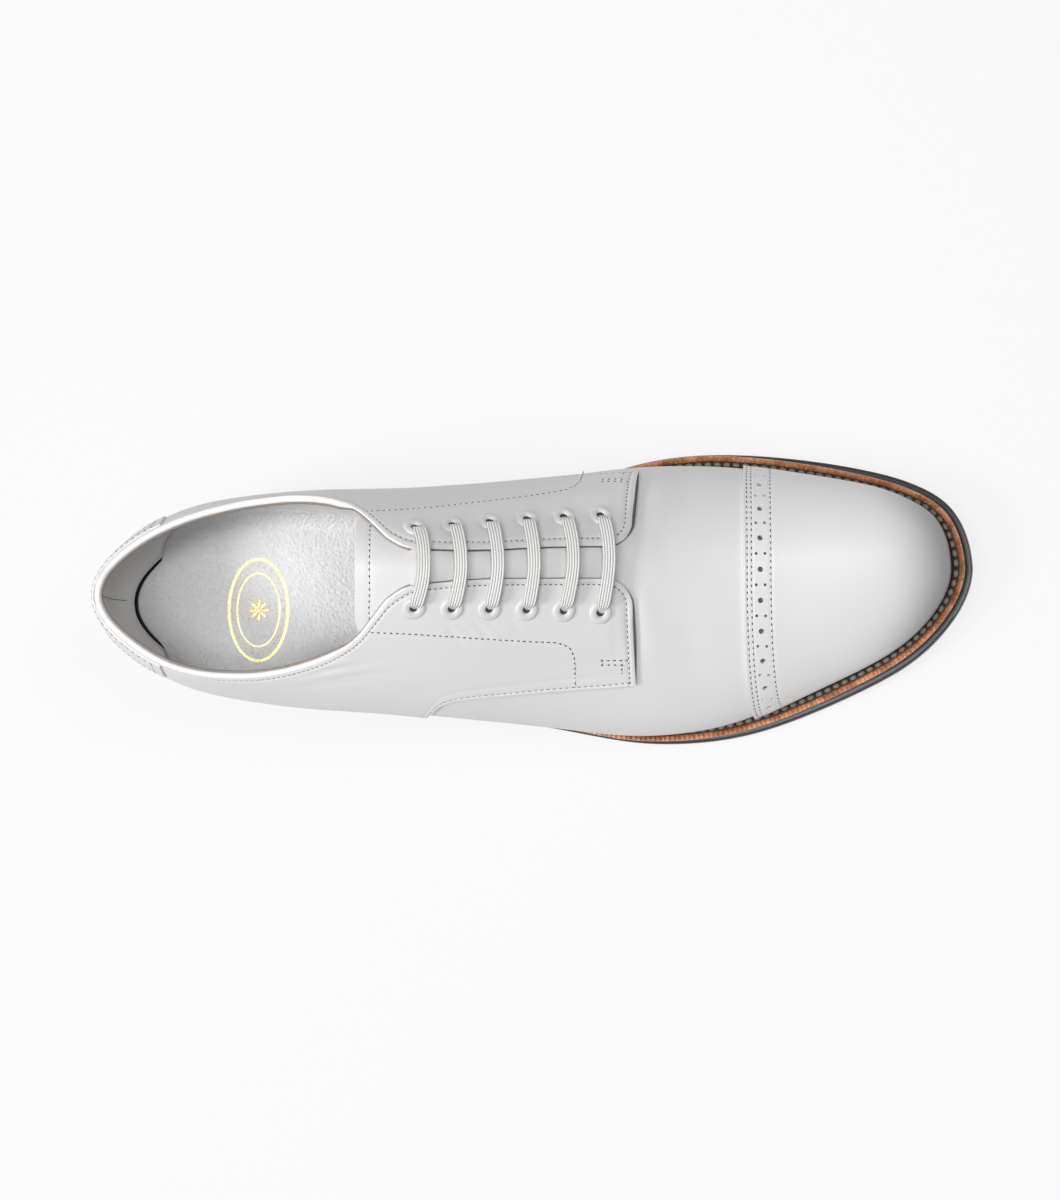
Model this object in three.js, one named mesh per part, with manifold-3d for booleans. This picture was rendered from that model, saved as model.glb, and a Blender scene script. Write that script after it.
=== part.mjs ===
// Right shoe of an open-laced cap toe pair, in millimetres.
// Toe along +X, inner (medial) side of the foot along +Y, floor at z = 0.

import * as THREE from 'three';
import { mergeVertices } from 'three/addons/utils/BufferGeometryUtils.js';
import Module from 'manifold-3d';

const wasm = await Module();
wasm.setup();

// Last
const LAST_LENGTH = 290;
const BALL_WIDTH = 90;
const INSTEP_HEIGHT = 81;
const HEEL_HEIGHT = 24;
const SEAT_PITCH = 4;
const TOE_SPRING = 12.5;
const HEEL_BACK = 3.5;
const HEEL_FOOT_TUCK = 4;
const HEEL_TOP_LEAN = 6.6;
const TOE_FOOT_TUCK = 1.5;

// Leather
const WALL = 2;
const LINING_STEP = 0.4;
const QUARTER_STEP = 0.8;
const FACING_STEP = 0.8;
const CAP_THICKNESS = 1.2;
const BACKSTAY_THICKNESS = 0.8;
const TONGUE_THICKNESS = 1.8;
const TONGUE_HALF_WIDTH = 21;
const TONGUE_TAPER = 3;
const FACING_CORNER = 9;
const BINDING_DEPTH = 2;
const BINDING_ROLL = 0.35;

// Bottom
const OUTSOLE_THICKNESS = 5;
const WELT_THICKNESS = 3.5;
const WELT_RIDGE = 1.3;
const WELT_RIDGE_WIDTH = 2.2;
const SOLE_REACH = 10;
const EDGE_ROUND = 0.8;
const INSOLE_RISE = 0.8;
const TOP_LIFT = 6;
const BREAST_HOLLOW = 3;

// Eyelets and lace
const EYELET_PAIRS = 6;
const EYELET_DIAMETER = 8.2;
const EYELET_BORE = 3.8;
const EYELET_BARREL = 0.5;
const EYELET_RISE = 0.9;
const LACE_WIDTH = 5;
const LACE_THICKNESS = 1.2;
const LACE_BOW = 3.4;

const GAP = 0.3;

// Places along the last, as shares of its length
const BREAST_AT = 0.255;
const TREAD_BACK_AT = 0.638;
const TREAD_FRONT_AT = 0.713;
const COLLAR_FRONT_AT = 0.4;
const FACING_FRONT_AT = 0.636;
const TONGUE_TOP_AT = 0.325;
const CAP_AT = 0.7725;
const BACKSTAY_AT = 0.085;
const FIRST_EYELET_AT = 0.3975;
const LAST_EYELET_AT = 0.602;

// Rows of numbers become one list per named column.
function table(names, rows) {
  return Object.fromEntries(names.map((name, k) => [name, rows.map((row) => row[k])]));
}

// Sections of the last: side reaches are shares of BALL_WIDTH, heights shares of INSTEP_HEIGHT.
const SECTIONS = table(
  [
    'at', 'medial', 'lateral', 'bulge', 'medialFoot', 'lateralFoot', 'ridgeSide', 'ridge',
    'medialRound', 'lateralRound',
  ],
  [
    [0.000, 0.009, -0.009, 0.222, 0.009, -0.009, 0.009, 0.815, 2.20, 2.20],
    [0.050, 0.240, 0.216, 0.222, 0.208, 0.186, 0.013, 0.848, 2.10, 2.20],
    [0.100, 0.330, 0.304, 0.222, 0.288, 0.267, 0.020, 0.889, 1.95, 2.08],
    [0.170, 0.376, 0.357, 0.222, 0.329, 0.318, 0.029, 0.931, 2.10, 1.78],
    [0.250, 0.396, 0.389, 0.235, 0.327, 0.344, 0.047, 0.973, 2.28, 1.48],
    [0.320, 0.403, 0.404, 0.247, 0.307, 0.355, 0.073, 1.005, 2.05, 1.49],
    [0.380, 0.410, 0.420, 0.247, 0.296, 0.366, 0.089, 0.985, 1.75, 1.56],
    [0.450, 0.429, 0.442, 0.241, 0.311, 0.392, 0.100, 0.922, 1.66, 1.60],
    [0.550, 0.474, 0.476, 0.198, 0.392, 0.442, 0.116, 0.806, 1.70, 1.70],
    [0.620, 0.504, 0.498, 0.160, 0.456, 0.474, 0.120, 0.699, 1.80, 1.80],
    [0.680, 0.512, 0.490, 0.142, 0.486, 0.469, 0.116, 0.599, 1.90, 1.90],
    [0.750, 0.502, 0.444, 0.130, 0.481, 0.425, 0.109, 0.507, 2.00, 2.00],
    [0.820, 0.470, 0.349, 0.117, 0.450, 0.331, 0.109, 0.422, 2.10, 2.10],
    [0.880, 0.436, 0.260, 0.105, 0.419, 0.242, 0.111, 0.353, 2.20, 2.20],
    [0.930, 0.396, 0.176, 0.093, 0.380, 0.161, 0.116, 0.286, 2.25, 2.25],
    [0.960, 0.353, 0.104, 0.081, 0.340, 0.091, 0.120, 0.232, 2.30, 2.30],
    [0.985, 0.292, 0.012, 0.072, 0.281, 0.003, 0.122, 0.165, 2.30, 2.30],
    [1.000, 0.122, -0.122, 0.062, 0.122, -0.122, 0.122, 0.086, 2.30, 2.30],
  ],
);

// How far the sole stands out past the last's foot line, and how far the welt stays inside
// the sole's edge, as shares of SOLE_REACH.
const MARGINS = table(
  ['at', 'medial', 'lateral', 'medialInset', 'lateralInset'],
  [
    [0.00, 0.45, 0.45, 0.08, 0.08],
    [0.15, 0.42, 0.42, 0.08, 0.08],
    [0.30, 0.40, 0.42, 0.08, 0.08],
    [0.45, 0.52, 0.50, 0.08, 0.10],
    [0.55, 0.69, 0.56, 0.10, 0.14],
    [0.62, 0.86, 0.62, 0.12, 0.18],
    [0.68, 0.90, 0.71, 0.15, 0.22],
    [0.75, 0.97, 0.84, 0.20, 0.26],
    [0.82, 1.05, 1.02, 0.26, 0.30],
    [0.90, 1.02, 1.06, 0.32, 0.33],
    [0.96, 1.04, 1.04, 0.34, 0.34],
    [1.00, 1.16, 1.16, 0.34, 0.34],
  ],
);

// Top edge of the quarters, collar then facing, as shares of the side's girth below the ridge.
const TOP_LINE = table(
  ['at', 'medial', 'lateral'],
  [
    [0.000, 0.144, 0.144],
    [0.015, 0.225, 0.226],
    [0.040, 0.288, 0.297],
    [0.070, 0.342, 0.363],
    [0.110, 0.396, 0.420],
    [0.150, 0.438, 0.448],
    [0.190, 0.461, 0.454],
    [0.230, 0.459, 0.434],
    [0.265, 0.429, 0.394],
    [0.295, 0.376, 0.345],
    [0.316, 0.319, 0.295],
    [0.337, 0.245, 0.230],
    [0.356, 0.167, 0.154],
    [0.374, 0.101, 0.090],
    [0.400, 0.060, 0.052],
    [0.470, 0.050, 0.040],
    [0.550, 0.061, 0.047],
    [0.660, 0.080, 0.054],
  ],
);

// Lower edge of the quarters, where they lie on the vamp.
const LOWER_LINE = table(
  ['at', 'medial', 'lateral'],
  [
    [0.355, 1.000, 1.000],
    [0.366, 0.950, 0.930],
    [0.382, 0.850, 0.800],
    [0.395, 0.760, 0.700],
    [0.411, 0.680, 0.613],
    [0.435, 0.630, 0.562],
    [0.481, 0.600, 0.525],
    [0.569, 0.585, 0.487],
    [0.660, 0.580, 0.472],
  ],
);

// Rear edge of the vamp, hidden under the quarters: place along the last by share of girth.
const VAMP_REAR = table(
  ['girth', 'at'],
  [
    [0.00, 0.600],
    [0.30, 0.600],
    [0.36, 0.570],
    [0.40, 0.530],
    [0.44, 0.490],
    [0.50, 0.440],
    [0.56, 0.405],
    [0.65, 0.375],
    [0.80, 0.350],
    [1.00, 0.335],
  ],
);

// Eyelet centres, millimetres of skin from the ridge to each side.
const EYELETS = table(
  ['at', 'medial', 'lateral'],
  [
    [0.39, 13.9, 12.5],
    [0.50, 15.4, 13.8],
    [0.61, 16.2, 15.8],
  ],
);

const { acos, cos, sin, sqrt, abs, min, max, hypot, PI } = Math;
const clamp = (value, low, high) => min(max(value, low), high);
const mix = (a, b, t) => a + (b - a) * t;

function smooth(value, from, to) {
  const t = clamp((value - from) / (to - from), 0, 1);
  return t * t * (3 - 2 * t);
}

// Natural cubic spline through the points.
function spline(xs, ys) {
  const last = xs.length - 1;
  const bend = new Array(last + 1).fill(0);
  const carry = new Array(last + 1).fill(0);
  for (let i = 1; i < last; i++) {
    const share = (xs[i] - xs[i - 1]) / (xs[i + 1] - xs[i - 1]);
    const p = share * bend[i - 1] + 2;
    const rise = (ys[i + 1] - ys[i]) / (xs[i + 1] - xs[i]) - (ys[i] - ys[i - 1]) / (xs[i] - xs[i - 1]);
    bend[i] = (share - 1) / p;
    carry[i] = ((6 * rise) / (xs[i + 1] - xs[i - 1]) - share * carry[i - 1]) / p;
  }
  for (let i = last - 1; i > 0; i--) {
    bend[i] = bend[i] * bend[i + 1] + carry[i];
  }
  return (value) => {
    const x = clamp(value, xs[0], xs[last]);
    let i = 0;
    while (i < last - 1 && x > xs[i + 1]) {
      i++;
    }
    const step = xs[i + 1] - xs[i];
    const a = (xs[i + 1] - x) / step;
    const b = (x - xs[i]) / step;
    const curve = ((a ** 3 - a) * bend[i] + (b ** 3 - b) * bend[i + 1]) * step * step;
    return a * ys[i] + b * ys[i + 1] + curve / 6;
  };
}

// Smooth curve through the points that never overshoots them.
function eased(xs, ys) {
  const last = xs.length - 1;
  const slope = xs.slice(1).map((x, i) => (ys[i + 1] - ys[i]) / (x - xs[i]));
  const lean = xs.map((x, i) => {
    const before = slope[max(i - 1, 0)];
    const after = slope[min(i, last - 1)];
    return before * after > 0 ? (2 * before * after) / (before + after) : 0;
  });
  return (value) => {
    const x = clamp(value, xs[0], xs[last]);
    let i = 0;
    while (i < last - 1 && x > xs[i + 1]) {
      i++;
    }
    const step = xs[i + 1] - xs[i];
    const t = (x - xs[i]) / step;
    const hold = 1 - 3 * t * t + 2 * t ** 3;
    const start = (t - 2 * t * t + t ** 3) * step * lean[i];
    const end = (t ** 3 - t * t) * step * lean[i + 1];
    return hold * ys[i] + (1 - hold) * ys[i + 1] + start + end;
  };
}

// The last's stations run evenly in turn, from 0 at the heel to 1 at the toe, which crowds
// them where both ends close. A place along it is (1 - cos(turn)) / 2.
const turnOf = (at) => acos(clamp(1 - 2 * at, -1, 1)) / PI;
const atOf = (turn) => (1 - cos(PI * turn)) / 2;
const turns = SECTIONS.at.map(turnOf);
const shape = Object.fromEntries(
  Object.keys(SECTIONS).filter((name) => name !== 'at').map((name) => [name, spline(turns, SECTIONS[name])]),
);
const marginTurns = MARGINS.at.map(turnOf);
const margins = {
  medial: spline(marginTurns, MARGINS.medial),
  lateral: spline(marginTurns, MARGINS.lateral),
  medialInset: eased(marginTurns, MARGINS.medialInset),
  lateralInset: eased(marginTurns, MARGINS.lateralInset),
};
const topLine = {
  medial: eased(TOP_LINE.at, TOP_LINE.medial),
  lateral: eased(TOP_LINE.at, TOP_LINE.lateral),
};
const lowerLine = {
  medial: eased(LOWER_LINE.at, LOWER_LINE.medial),
  lateral: eased(LOWER_LINE.at, LOWER_LINE.lateral),
};
const vampRear = eased(VAMP_REAR.girth, VAMP_REAR.at);

// Underside of the outsole at a distance along the shoe.
const xAt = (at) => HEEL_BACK + LAST_LENGTH * at;
const BREAST = xAt(BREAST_AT);
const TREAD_BACK = xAt(TREAD_BACK_AT);
const TREAD_FRONT = xAt(TREAD_FRONT_AT);
const TOE = xAt(1);

const SPRING_CURVE = 1.9;

function underside(x) {
  if (x < BREAST) {
    return HEEL_HEIGHT - SEAT_PITCH * (max(x, 0) / BREAST) ** 2;
  }
  if (x < TREAD_BACK) {
    const run = TREAD_BACK - BREAST;
    const t = (x - BREAST) / run;
    const slope = ((-2 * SEAT_PITCH) / BREAST) * run;
    return (HEEL_HEIGHT - SEAT_PITCH) * (1 - 3 * t * t + 2 * t ** 3) + slope * (t - 2 * t * t + t ** 3);
  }
  return TOE_SPRING * (max(x - TREAD_FRONT, 0) / (TOE + SOLE_REACH - TREAD_FRONT)) ** SPRING_CURVE;
}

const footLine = (x) => underside(x) + OUTSOLE_THICKNESS + WELT_THICKNESS;

// One side of one section, from the foot line up to the ridge, as points with their run of skin.
const FOOT_LEAN = 0.7;
const FOOT_POINTS = 7;
const BODY_POINTS = 20;

function halfSection(turn, side) {
  const medial = side > 0;
  const wide = BALL_WIDTH * (medial ? shape.medial(turn) : -shape.lateral(turn));
  const foot = BALL_WIDTH * (medial ? shape.medialFoot(turn) : -shape.lateralFoot(turn));
  const bulge = INSTEP_HEIGHT * shape.bulge(turn);
  const ridge = INSTEP_HEIGHT * shape.ridge(turn);
  const ridgeSide = BALL_WIDTH * shape.ridgeSide(turn);
  const power = 2 / (medial ? shape.medialRound(turn) : shape.lateralRound(turn));
  const points = [];
  for (let i = 0; i < FOOT_POINTS; i++) {
    const angle = mix(FOOT_LEAN, PI / 2, i / (FOOT_POINTS - 1));
    const out = (sin(angle) - sin(FOOT_LEAN)) / (1 - sin(FOOT_LEAN));
    points.push([mix(foot, wide, out), bulge * (1 - cos(angle) / cos(FOOT_LEAN))]);
  }
  for (let i = 1; i < BODY_POINTS; i++) {
    const angle = ((PI / 2) * i) / (BODY_POINTS - 1);
    const out = i < BODY_POINTS - 1 ? cos(angle) ** power : 0;
    points.push([mix(ridgeSide, wide, out), mix(bulge, ridge, sin(angle) ** power)]);
  }
  const runs = [0];
  for (let i = 1; i < points.length; i++) {
    runs.push(runs[i - 1] + hypot(points[i][0] - points[i - 1][0], points[i][1] - points[i - 1][1]));
  }
  return { points, runs, bulge, girth: runs[runs.length - 1] };
}

const sections = new Map();

function section(turn, side) {
  const key = `${turn.toFixed(9)} ${side}`;
  if (!sections.has(key)) {
    sections.set(key, halfSection(turn, side));
  }
  return sections.get(key);
}

const sideOf = (share) => (share < 0 ? -1 : 1);
const girthAt = (turn, side) => section(turn, side).girth;

// How far the heel's lean and the toe's tuck run along the last, in ball widths.
const HEEL_LEAN_RUN = 0.66;
const TOE_TUCK_RUN = 0.28;
const LEAN_CURVE = 1.8;

// Point on the last. share runs from -1 at the lateral foot line over 0 at the ridge to 1 at
// the medial foot line, evenly along each side's skin.
function lastPoint(turn, share) {
  const { points, runs, bulge, girth } = section(turn, sideOf(share));
  const run = (1 - abs(share)) * girth;
  let i = 1;
  while (i < runs.length - 1 && run > runs[i]) {
    i++;
  }
  const t = (run - runs[i - 1]) / (runs[i] - runs[i - 1]);
  const y = mix(points[i - 1][0], points[i][0], t);
  const height = mix(points[i - 1][1], points[i][1], t);
  const x = xAt(atOf(turn));
  const below = max(0, 1 - height / bulge) ** 2;
  const above = max(0, (height - bulge) / (INSTEP_HEIGHT / 2)) ** LEAN_CURVE;
  const nearHeel = max(0, 1 - (x - HEEL_BACK) / (BALL_WIDTH * HEEL_LEAN_RUN)) ** 2;
  const nearToe = max(0, 1 - (TOE - x) / (BALL_WIDTH * TOE_TUCK_RUN)) ** 2;
  const lean = (HEEL_FOOT_TUCK * below + HEEL_TOP_LEAN * above) * nearHeel;
  const tuck = TOE_FOOT_TUCK * below * nearToe;
  return new THREE.Vector3(x + lean - tuck, y, footLine(x) + GAP + height);
}

const TURN_STEP = 0.003;
const SHARE_STEP = 0.012;
const END_TURN = 0.004;

function innerNormal(turn, share) {
  const along = lastPoint(min(turn + TURN_STEP, 1), share).sub(lastPoint(max(turn - TURN_STEP, 0), share));
  const across = lastPoint(turn, min(share + SHARE_STEP, 1)).sub(lastPoint(turn, max(share - SHARE_STEP, -1)));
  return along.cross(across).normalize();
}

// Outward normal, which turns level at the foot line so that the wall stands on the welt.
function normalAt(turn, share) {
  const near = clamp(turn, END_TURN, 1 - END_TURN);
  const normal = innerNormal(near, share);
  if (near !== turn) {
    normal.add(innerNormal(near, -share)).normalize();
  }
  const { bulge, girth } = section(turn, sideOf(share));
  const height = ((1 - abs(share)) * girth) / bulge;
  normal.z *= clamp(height, 0, 1);
  return normal.normalize();
}

// Point of the upper: the last's skin moved outward by an offset, its foot kept on the welt.
function skin(turn, share, offset) {
  const point = lastPoint(turn, share);
  const start = footLine(point.x);
  const { bulge, girth } = section(turn, sideOf(share));
  const height = ((1 - abs(share)) * girth) / bulge;
  point.addScaledVector(normalAt(turn, share), offset);
  point.z += (footLine(point.x) - start) * (1 - clamp(height, 0, 1));
  return point;
}

// Closed sheet between two grids of points. The ends named open are where the grid folds shut.
function sheet(rows, columns, outer, inner, openEnd = false) {
  const positions = [];
  const outside = [];
  const inside = [];
  for (let i = 0; i < rows; i++) {
    outside.push([]);
    inside.push([]);
    for (let j = 0; j < columns; j++) {
      outside[i].push(positions.length / 3);
      positions.push(...outer(i, j).toArray());
      inside[i].push(positions.length / 3);
      positions.push(...inner(i, j).toArray());
    }
  }
  const faces = [];
  const quad = (a, b, c, d) => faces.push(a, b, c, a, c, d);
  for (let i = 0; i + 1 < rows; i++) {
    for (let j = 0; j + 1 < columns; j++) {
      quad(outside[i][j], outside[i + 1][j], outside[i + 1][j + 1], outside[i][j + 1]);
      quad(inside[i][j], inside[i][j + 1], inside[i + 1][j + 1], inside[i + 1][j]);
    }
    const end = columns - 1;
    quad(outside[i][0], inside[i][0], inside[i + 1][0], outside[i + 1][0]);
    quad(outside[i][end], outside[i + 1][end], inside[i + 1][end], inside[i][end]);
  }
  for (let j = 0; j + 1 < columns; j++) {
    const end = rows - 1;
    quad(outside[0][j], outside[0][j + 1], inside[0][j + 1], inside[0][j]);
    if (!openEnd) {
      quad(outside[end][j], inside[end][j], inside[end][j + 1], outside[end][j + 1]);
    }
  }
  return closedGeometry(positions, faces);
}

const WELD = 1e-4;

function closedGeometry(positions, faces) {
  const raw = new THREE.BufferGeometry();
  raw.setAttribute('position', new THREE.Float32BufferAttribute(positions, 3));
  raw.setIndex(faces);
  const merged = mergeVertices(raw, WELD);
  const index = merged.index.array;
  const kept = [];
  for (let i = 0; i < index.length; i += 3) {
    const [a, b, c] = [index[i], index[i + 1], index[i + 2]];
    if (a !== b && b !== c && c !== a) {
      kept.push(a, b, c);
    }
  }
  merged.setIndex(kept);
  return merged;
}

function toSolid(geometry) {
  const vertProperties = new Float32Array(geometry.attributes.position.array);
  const triVerts = new Uint32Array(geometry.index.array);
  return new wasm.Manifold(new wasm.Mesh({ numProp: 3, vertProperties, triVerts }));
}

function toGeometry(solid) {
  const mesh = solid.getMesh();
  const geometry = new THREE.BufferGeometry();
  geometry.setAttribute('position', new THREE.Float32BufferAttribute(mesh.vertProperties, 3));
  geometry.setIndex(Array.from(mesh.triVerts));
  return geometry;
}

// Even shares from 0 to 1, or shares crowded by a power towards 1.
const even = (count) => Array.from({ length: count + 1 }, (_, i) => i / count);
const crowded = (count, power) => even(count).map((t) => 1 - (1 - t) ** power);

// Vamp: the front shell, closed at the toe, whose wings run back under the quarters.
// Its rows ahead of the cap's rear edge are the cap's own, so that the cap lies on it.
const FRONT_HALF_COLUMNS = 11;
const VAMP_REAR_ROWS = 7;
const CAP_ROWS = 10;
const CAP_SWEEP = 0.016;
const FOOT_CROWD = 1.15;

function capRear(share) {
  return turnOf(CAP_AT - (share > 0 ? CAP_SWEEP * share * share : 0));
}

function frontShares() {
  const half = crowded(FRONT_HALF_COLUMNS, FOOT_CROWD);
  return [...half.map((t) => -t).reverse(), ...half.slice(1)];
}

function vampShell() {
  const shares = frontShares();
  const place = (i, j, offset) => {
    const rear = turnOf(vampRear(abs(shares[j])));
    const cap = capRear(shares[j]);
    const ahead = i - VAMP_REAR_ROWS;
    const turn = ahead < 0 ? mix(rear, cap, i / VAMP_REAR_ROWS) : mix(cap, 1, ahead / CAP_ROWS);
    return skin(turn, shares[j], offset);
  };
  return sheet(
    VAMP_REAR_ROWS + CAP_ROWS + 1,
    shares.length,
    (i, j) => place(i, j, WALL),
    (i, j) => place(i, j, 0),
    true,
  );
}

// Over the tongue the facings stand off the last by the tongue's thickness.
const TONGUE_PLAY = 2 * GAP;
const TONGUE_CLEAR = 2;
const TONGUE_RAMP = 9;
const TONGUE_END = 0.007;
const TONGUE_SPREAD = TONGUE_HALF_WIDTH + TONGUE_TAPER + TONGUE_CLEAR;
const TONGUE_FADE = 0.05;
const TONGUE_FADE_END = 0.01;

function besideTongue(at) {
  const full = TONGUE_TOP_AT - TONGUE_FADE_END;
  return smooth(at, full - TONGUE_FADE, full);
}

function tongueLift(turn, share) {
  const at = atOf(turn);
  const fromRidge = abs(share) * girthAt(turn, sideOf(share));
  const across = 1 - smooth(fromRidge, TONGUE_SPREAD + GAP, TONGUE_SPREAD + TONGUE_RAMP);
  const front = VAMP_REAR.at[0] + TONGUE_END;
  return across * besideTongue(at) * (1 - smooth(at, front, front + 2 * TONGUE_END));
}

const quarterInside = (turn, share) =>
  mix(LINING_STEP, TONGUE_THICKNESS + TONGUE_PLAY, tongueLift(turn, share));

const VAMP_UNDER_BACK_AT = 0.3;
const VAMP_UNDER_FRONT_AT = 0.5;

function quarterOutside(turn, share) {
  const overVamp = FACING_STEP * smooth(atOf(turn), VAMP_UNDER_BACK_AT, VAMP_UNDER_FRONT_AT);
  const rise = TONGUE_THICKNESS + TONGUE_PLAY - WALL;
  return WALL + QUARTER_STEP + overVamp + max(rise, GAP) * tongueLift(turn, share);
}

// Quarters: one band round the heel, from the front of one facing to the front of the other.
const HEEL_COLUMNS = 10;
const WAIST_COLUMNS = 7;
const THROAT_COLUMNS = 6;
const FACING_COLUMNS = 5;
const TIP_COLUMNS = 4;
const COLLAR_COLUMNS = HEEL_COLUMNS + WAIST_COLUMNS + THROAT_COLUMNS;
const QUARTER_ROWS = 9;
const WAIST_AT = 0.24;
const THROAT_AT = 0.335;
const TIP_CROWD = 1.3;

function quarterStations() {
  const front = turnOf(FACING_FRONT_AT);
  const tipBack = VAMP_REAR.at[0] + TONGUE_END;
  const places = [0, WAIST_AT, THROAT_AT, COLLAR_FRONT_AT, tipBack, FACING_FRONT_AT];
  const marks = places.map((at) => turnOf(at) / front);
  const counts = [HEEL_COLUMNS, WAIST_COLUMNS, THROAT_COLUMNS, FACING_COLUMNS, TIP_COLUMNS];
  const stations = [0];
  counts.forEach((count, k) => {
    const shares = k === counts.length - 1 ? crowded(count, TIP_CROWD) : even(count);
    shares.slice(1).forEach((t) => stations.push(mix(marks[k], marks[k + 1], t)));
  });
  return stations;
}

// Turn of the facing's front edge at a distance from its top edge, round at the corner.
function facingFront(fromTop) {
  const into = clamp(FACING_CORNER - fromTop, 0, FACING_CORNER);
  const back = FACING_CORNER - sqrt(max(FACING_CORNER ** 2 - into ** 2, 0));
  return turnOf(FACING_FRONT_AT - back / LAST_LENGTH);
}

// Share of the rise from lower edge to top edge at which a row follows the tongue's side.
const KNEE_RISE = 0.5;

function quarterPlace(station, side, rise, inset) {
  const name = side > 0 ? 'medial' : 'lateral';
  const reach = turnOf(FACING_FRONT_AT);
  const edge = (turn) => {
    const girth = girthAt(turn, side);
    const top = topLine[name](atOf(turn)) + inset / girth;
    const low = lowerLine[name](atOf(turn));
    const knee = max(TONGUE_SPREAD / girth, mix(top, low, 1 - KNEE_RISE));
    const bent = rise < KNEE_RISE
      ? mix(low, knee, rise / KNEE_RISE)
      : mix(knee, top, (rise - KNEE_RISE) / (1 - KNEE_RISE));
    return { top, share: mix(mix(low, top, rise), bent, besideTongue(atOf(turn))) };
  };
  const tip = edge(reach);
  const fromTop = (tip.share - tip.top) * girthAt(reach, side);
  const turn = station * facingFront(fromTop);
  return { turn, share: side * edge(turn).share };
}

const bothSides = (list) => [...list.slice(1).reverse().map((s) => [s, -1]), ...list.map((s) => [s, 1])];

function quarterShell() {
  const stations = quarterStations();
  const collarFront = stations[COLLAR_COLUMNS];
  const path = bothSides(stations);
  const rises = even(QUARTER_ROWS);
  const place = (i, j, offsetOf) => {
    const inset = path[i][0] > collarFront ? 0 : BINDING_DEPTH;
    const { turn, share } = quarterPlace(...path[i], rises[j], inset);
    return skin(turn, share, offsetOf(turn, share));
  };
  const outer = (i, j) => place(i, j, quarterOutside);
  const inner = (i, j) => place(i, j, quarterInside);
  return sheet(path.length, rises.length, inner, outer);
}

// Place, normal and along direction for each eyelet.
function eyeletFrames() {
  const frames = [];
  const medial = eased(EYELETS.at, EYELETS.medial);
  const lateral = eased(EYELETS.at, EYELETS.lateral);
  for (let pair = 0; pair < EYELET_PAIRS; pair++) {
    const at = mix(FIRST_EYELET_AT, LAST_EYELET_AT, pair / (EYELET_PAIRS - 1));
    const turn = turnOf(at);
    [['medial', 1, medial], ['lateral', -1, lateral]].forEach(([name, side, reach]) => {
      const share = (side * reach(at)) / girthAt(turn, side);
      const normal = normalAt(turn, share);
      const seat = skin(turn, share, quarterOutside(turn, share));
      frames.push({ name, pair, turn, share, normal, seat });
    });
  }
  return frames;
}

const EYELET_SIDES = 10;

function standOn(geometry, { seat, normal }) {
  const turnUp = new THREE.Quaternion().setFromUnitVectors(new THREE.Vector3(0, 0, 1), normal);
  geometry.applyQuaternion(turnUp);
  geometry.translate(seat.x, seat.y, seat.z);
  return geometry;
}

function bareGeometry(geometry) {
  geometry.deleteAttribute('normal');
  geometry.deleteAttribute('uv');
  return closedGeometry(Array.from(geometry.attributes.position.array), Array.from(geometry.index.array));
}

const PUNCH_LENGTH = 5;
const PUNCH_SIDES = 8;
const EYELET_DEPTH = 1.6;
const EYELET_OUTER_ROUND = 0.5;
const EYELET_INNER_ROUND = 0.3;
const EYELET_SHOULDER = 0.8;

function eyeletPunch(frame) {
  const radius = EYELET_BORE / 2 + EYELET_BARREL + GAP;
  const drill = new THREE.CylinderGeometry(radius, radius, PUNCH_LENGTH, PUNCH_SIDES).rotateX(PI / 2);
  return toSolid(bareGeometry(standOn(drill, frame)));
}

function eyeletGeometry(frame) {
  const bore = EYELET_BORE / 2;
  const rim = EYELET_DIAMETER / 2;
  const barrel = bore + EYELET_BARREL;
  const seat = GAP + rim * rim / BALL_WIDTH;
  const profile = [
    [bore, -EYELET_DEPTH],
    [barrel, -EYELET_DEPTH],
    [barrel, seat],
    [rim, seat],
    [rim - EYELET_OUTER_ROUND, seat + EYELET_RISE * EYELET_SHOULDER],
    [bore + EYELET_INNER_ROUND, seat + EYELET_RISE],
    [bore, -EYELET_DEPTH],
  ];
  const points = profile.map(([radius, height]) => new THREE.Vector2(radius, height));
  const lathe = new THREE.LatheGeometry(points, EYELET_SIDES).rotateX(PI / 2);
  return bareGeometry(standOn(lathe, frame));
}

// Toe cap: a second shell over the vamp, from its curved rear edge to the toe.
function toeCap() {
  const shares = frontShares();
  const place = (i, j, offset) => skin(mix(capRear(shares[j]), 1, i / CAP_ROWS), shares[j], offset);
  return sheet(
    CAP_ROWS + 1,
    shares.length,
    (i, j) => place(i, j, WALL + GAP + CAP_THICKNESS),
    (i, j) => place(i, j, WALL + GAP),
    true,
  );
}

// Tongue, on the last's skin under both facings.
const TONGUE_ROWS = 12;
const TONGUE_HALF_COLUMNS = 4;
const TONGUE_CORNER = 0.012;
const TONGUE_DIP = 0.012;
const TONGUE_CORNER_CURVE = 6;

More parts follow.
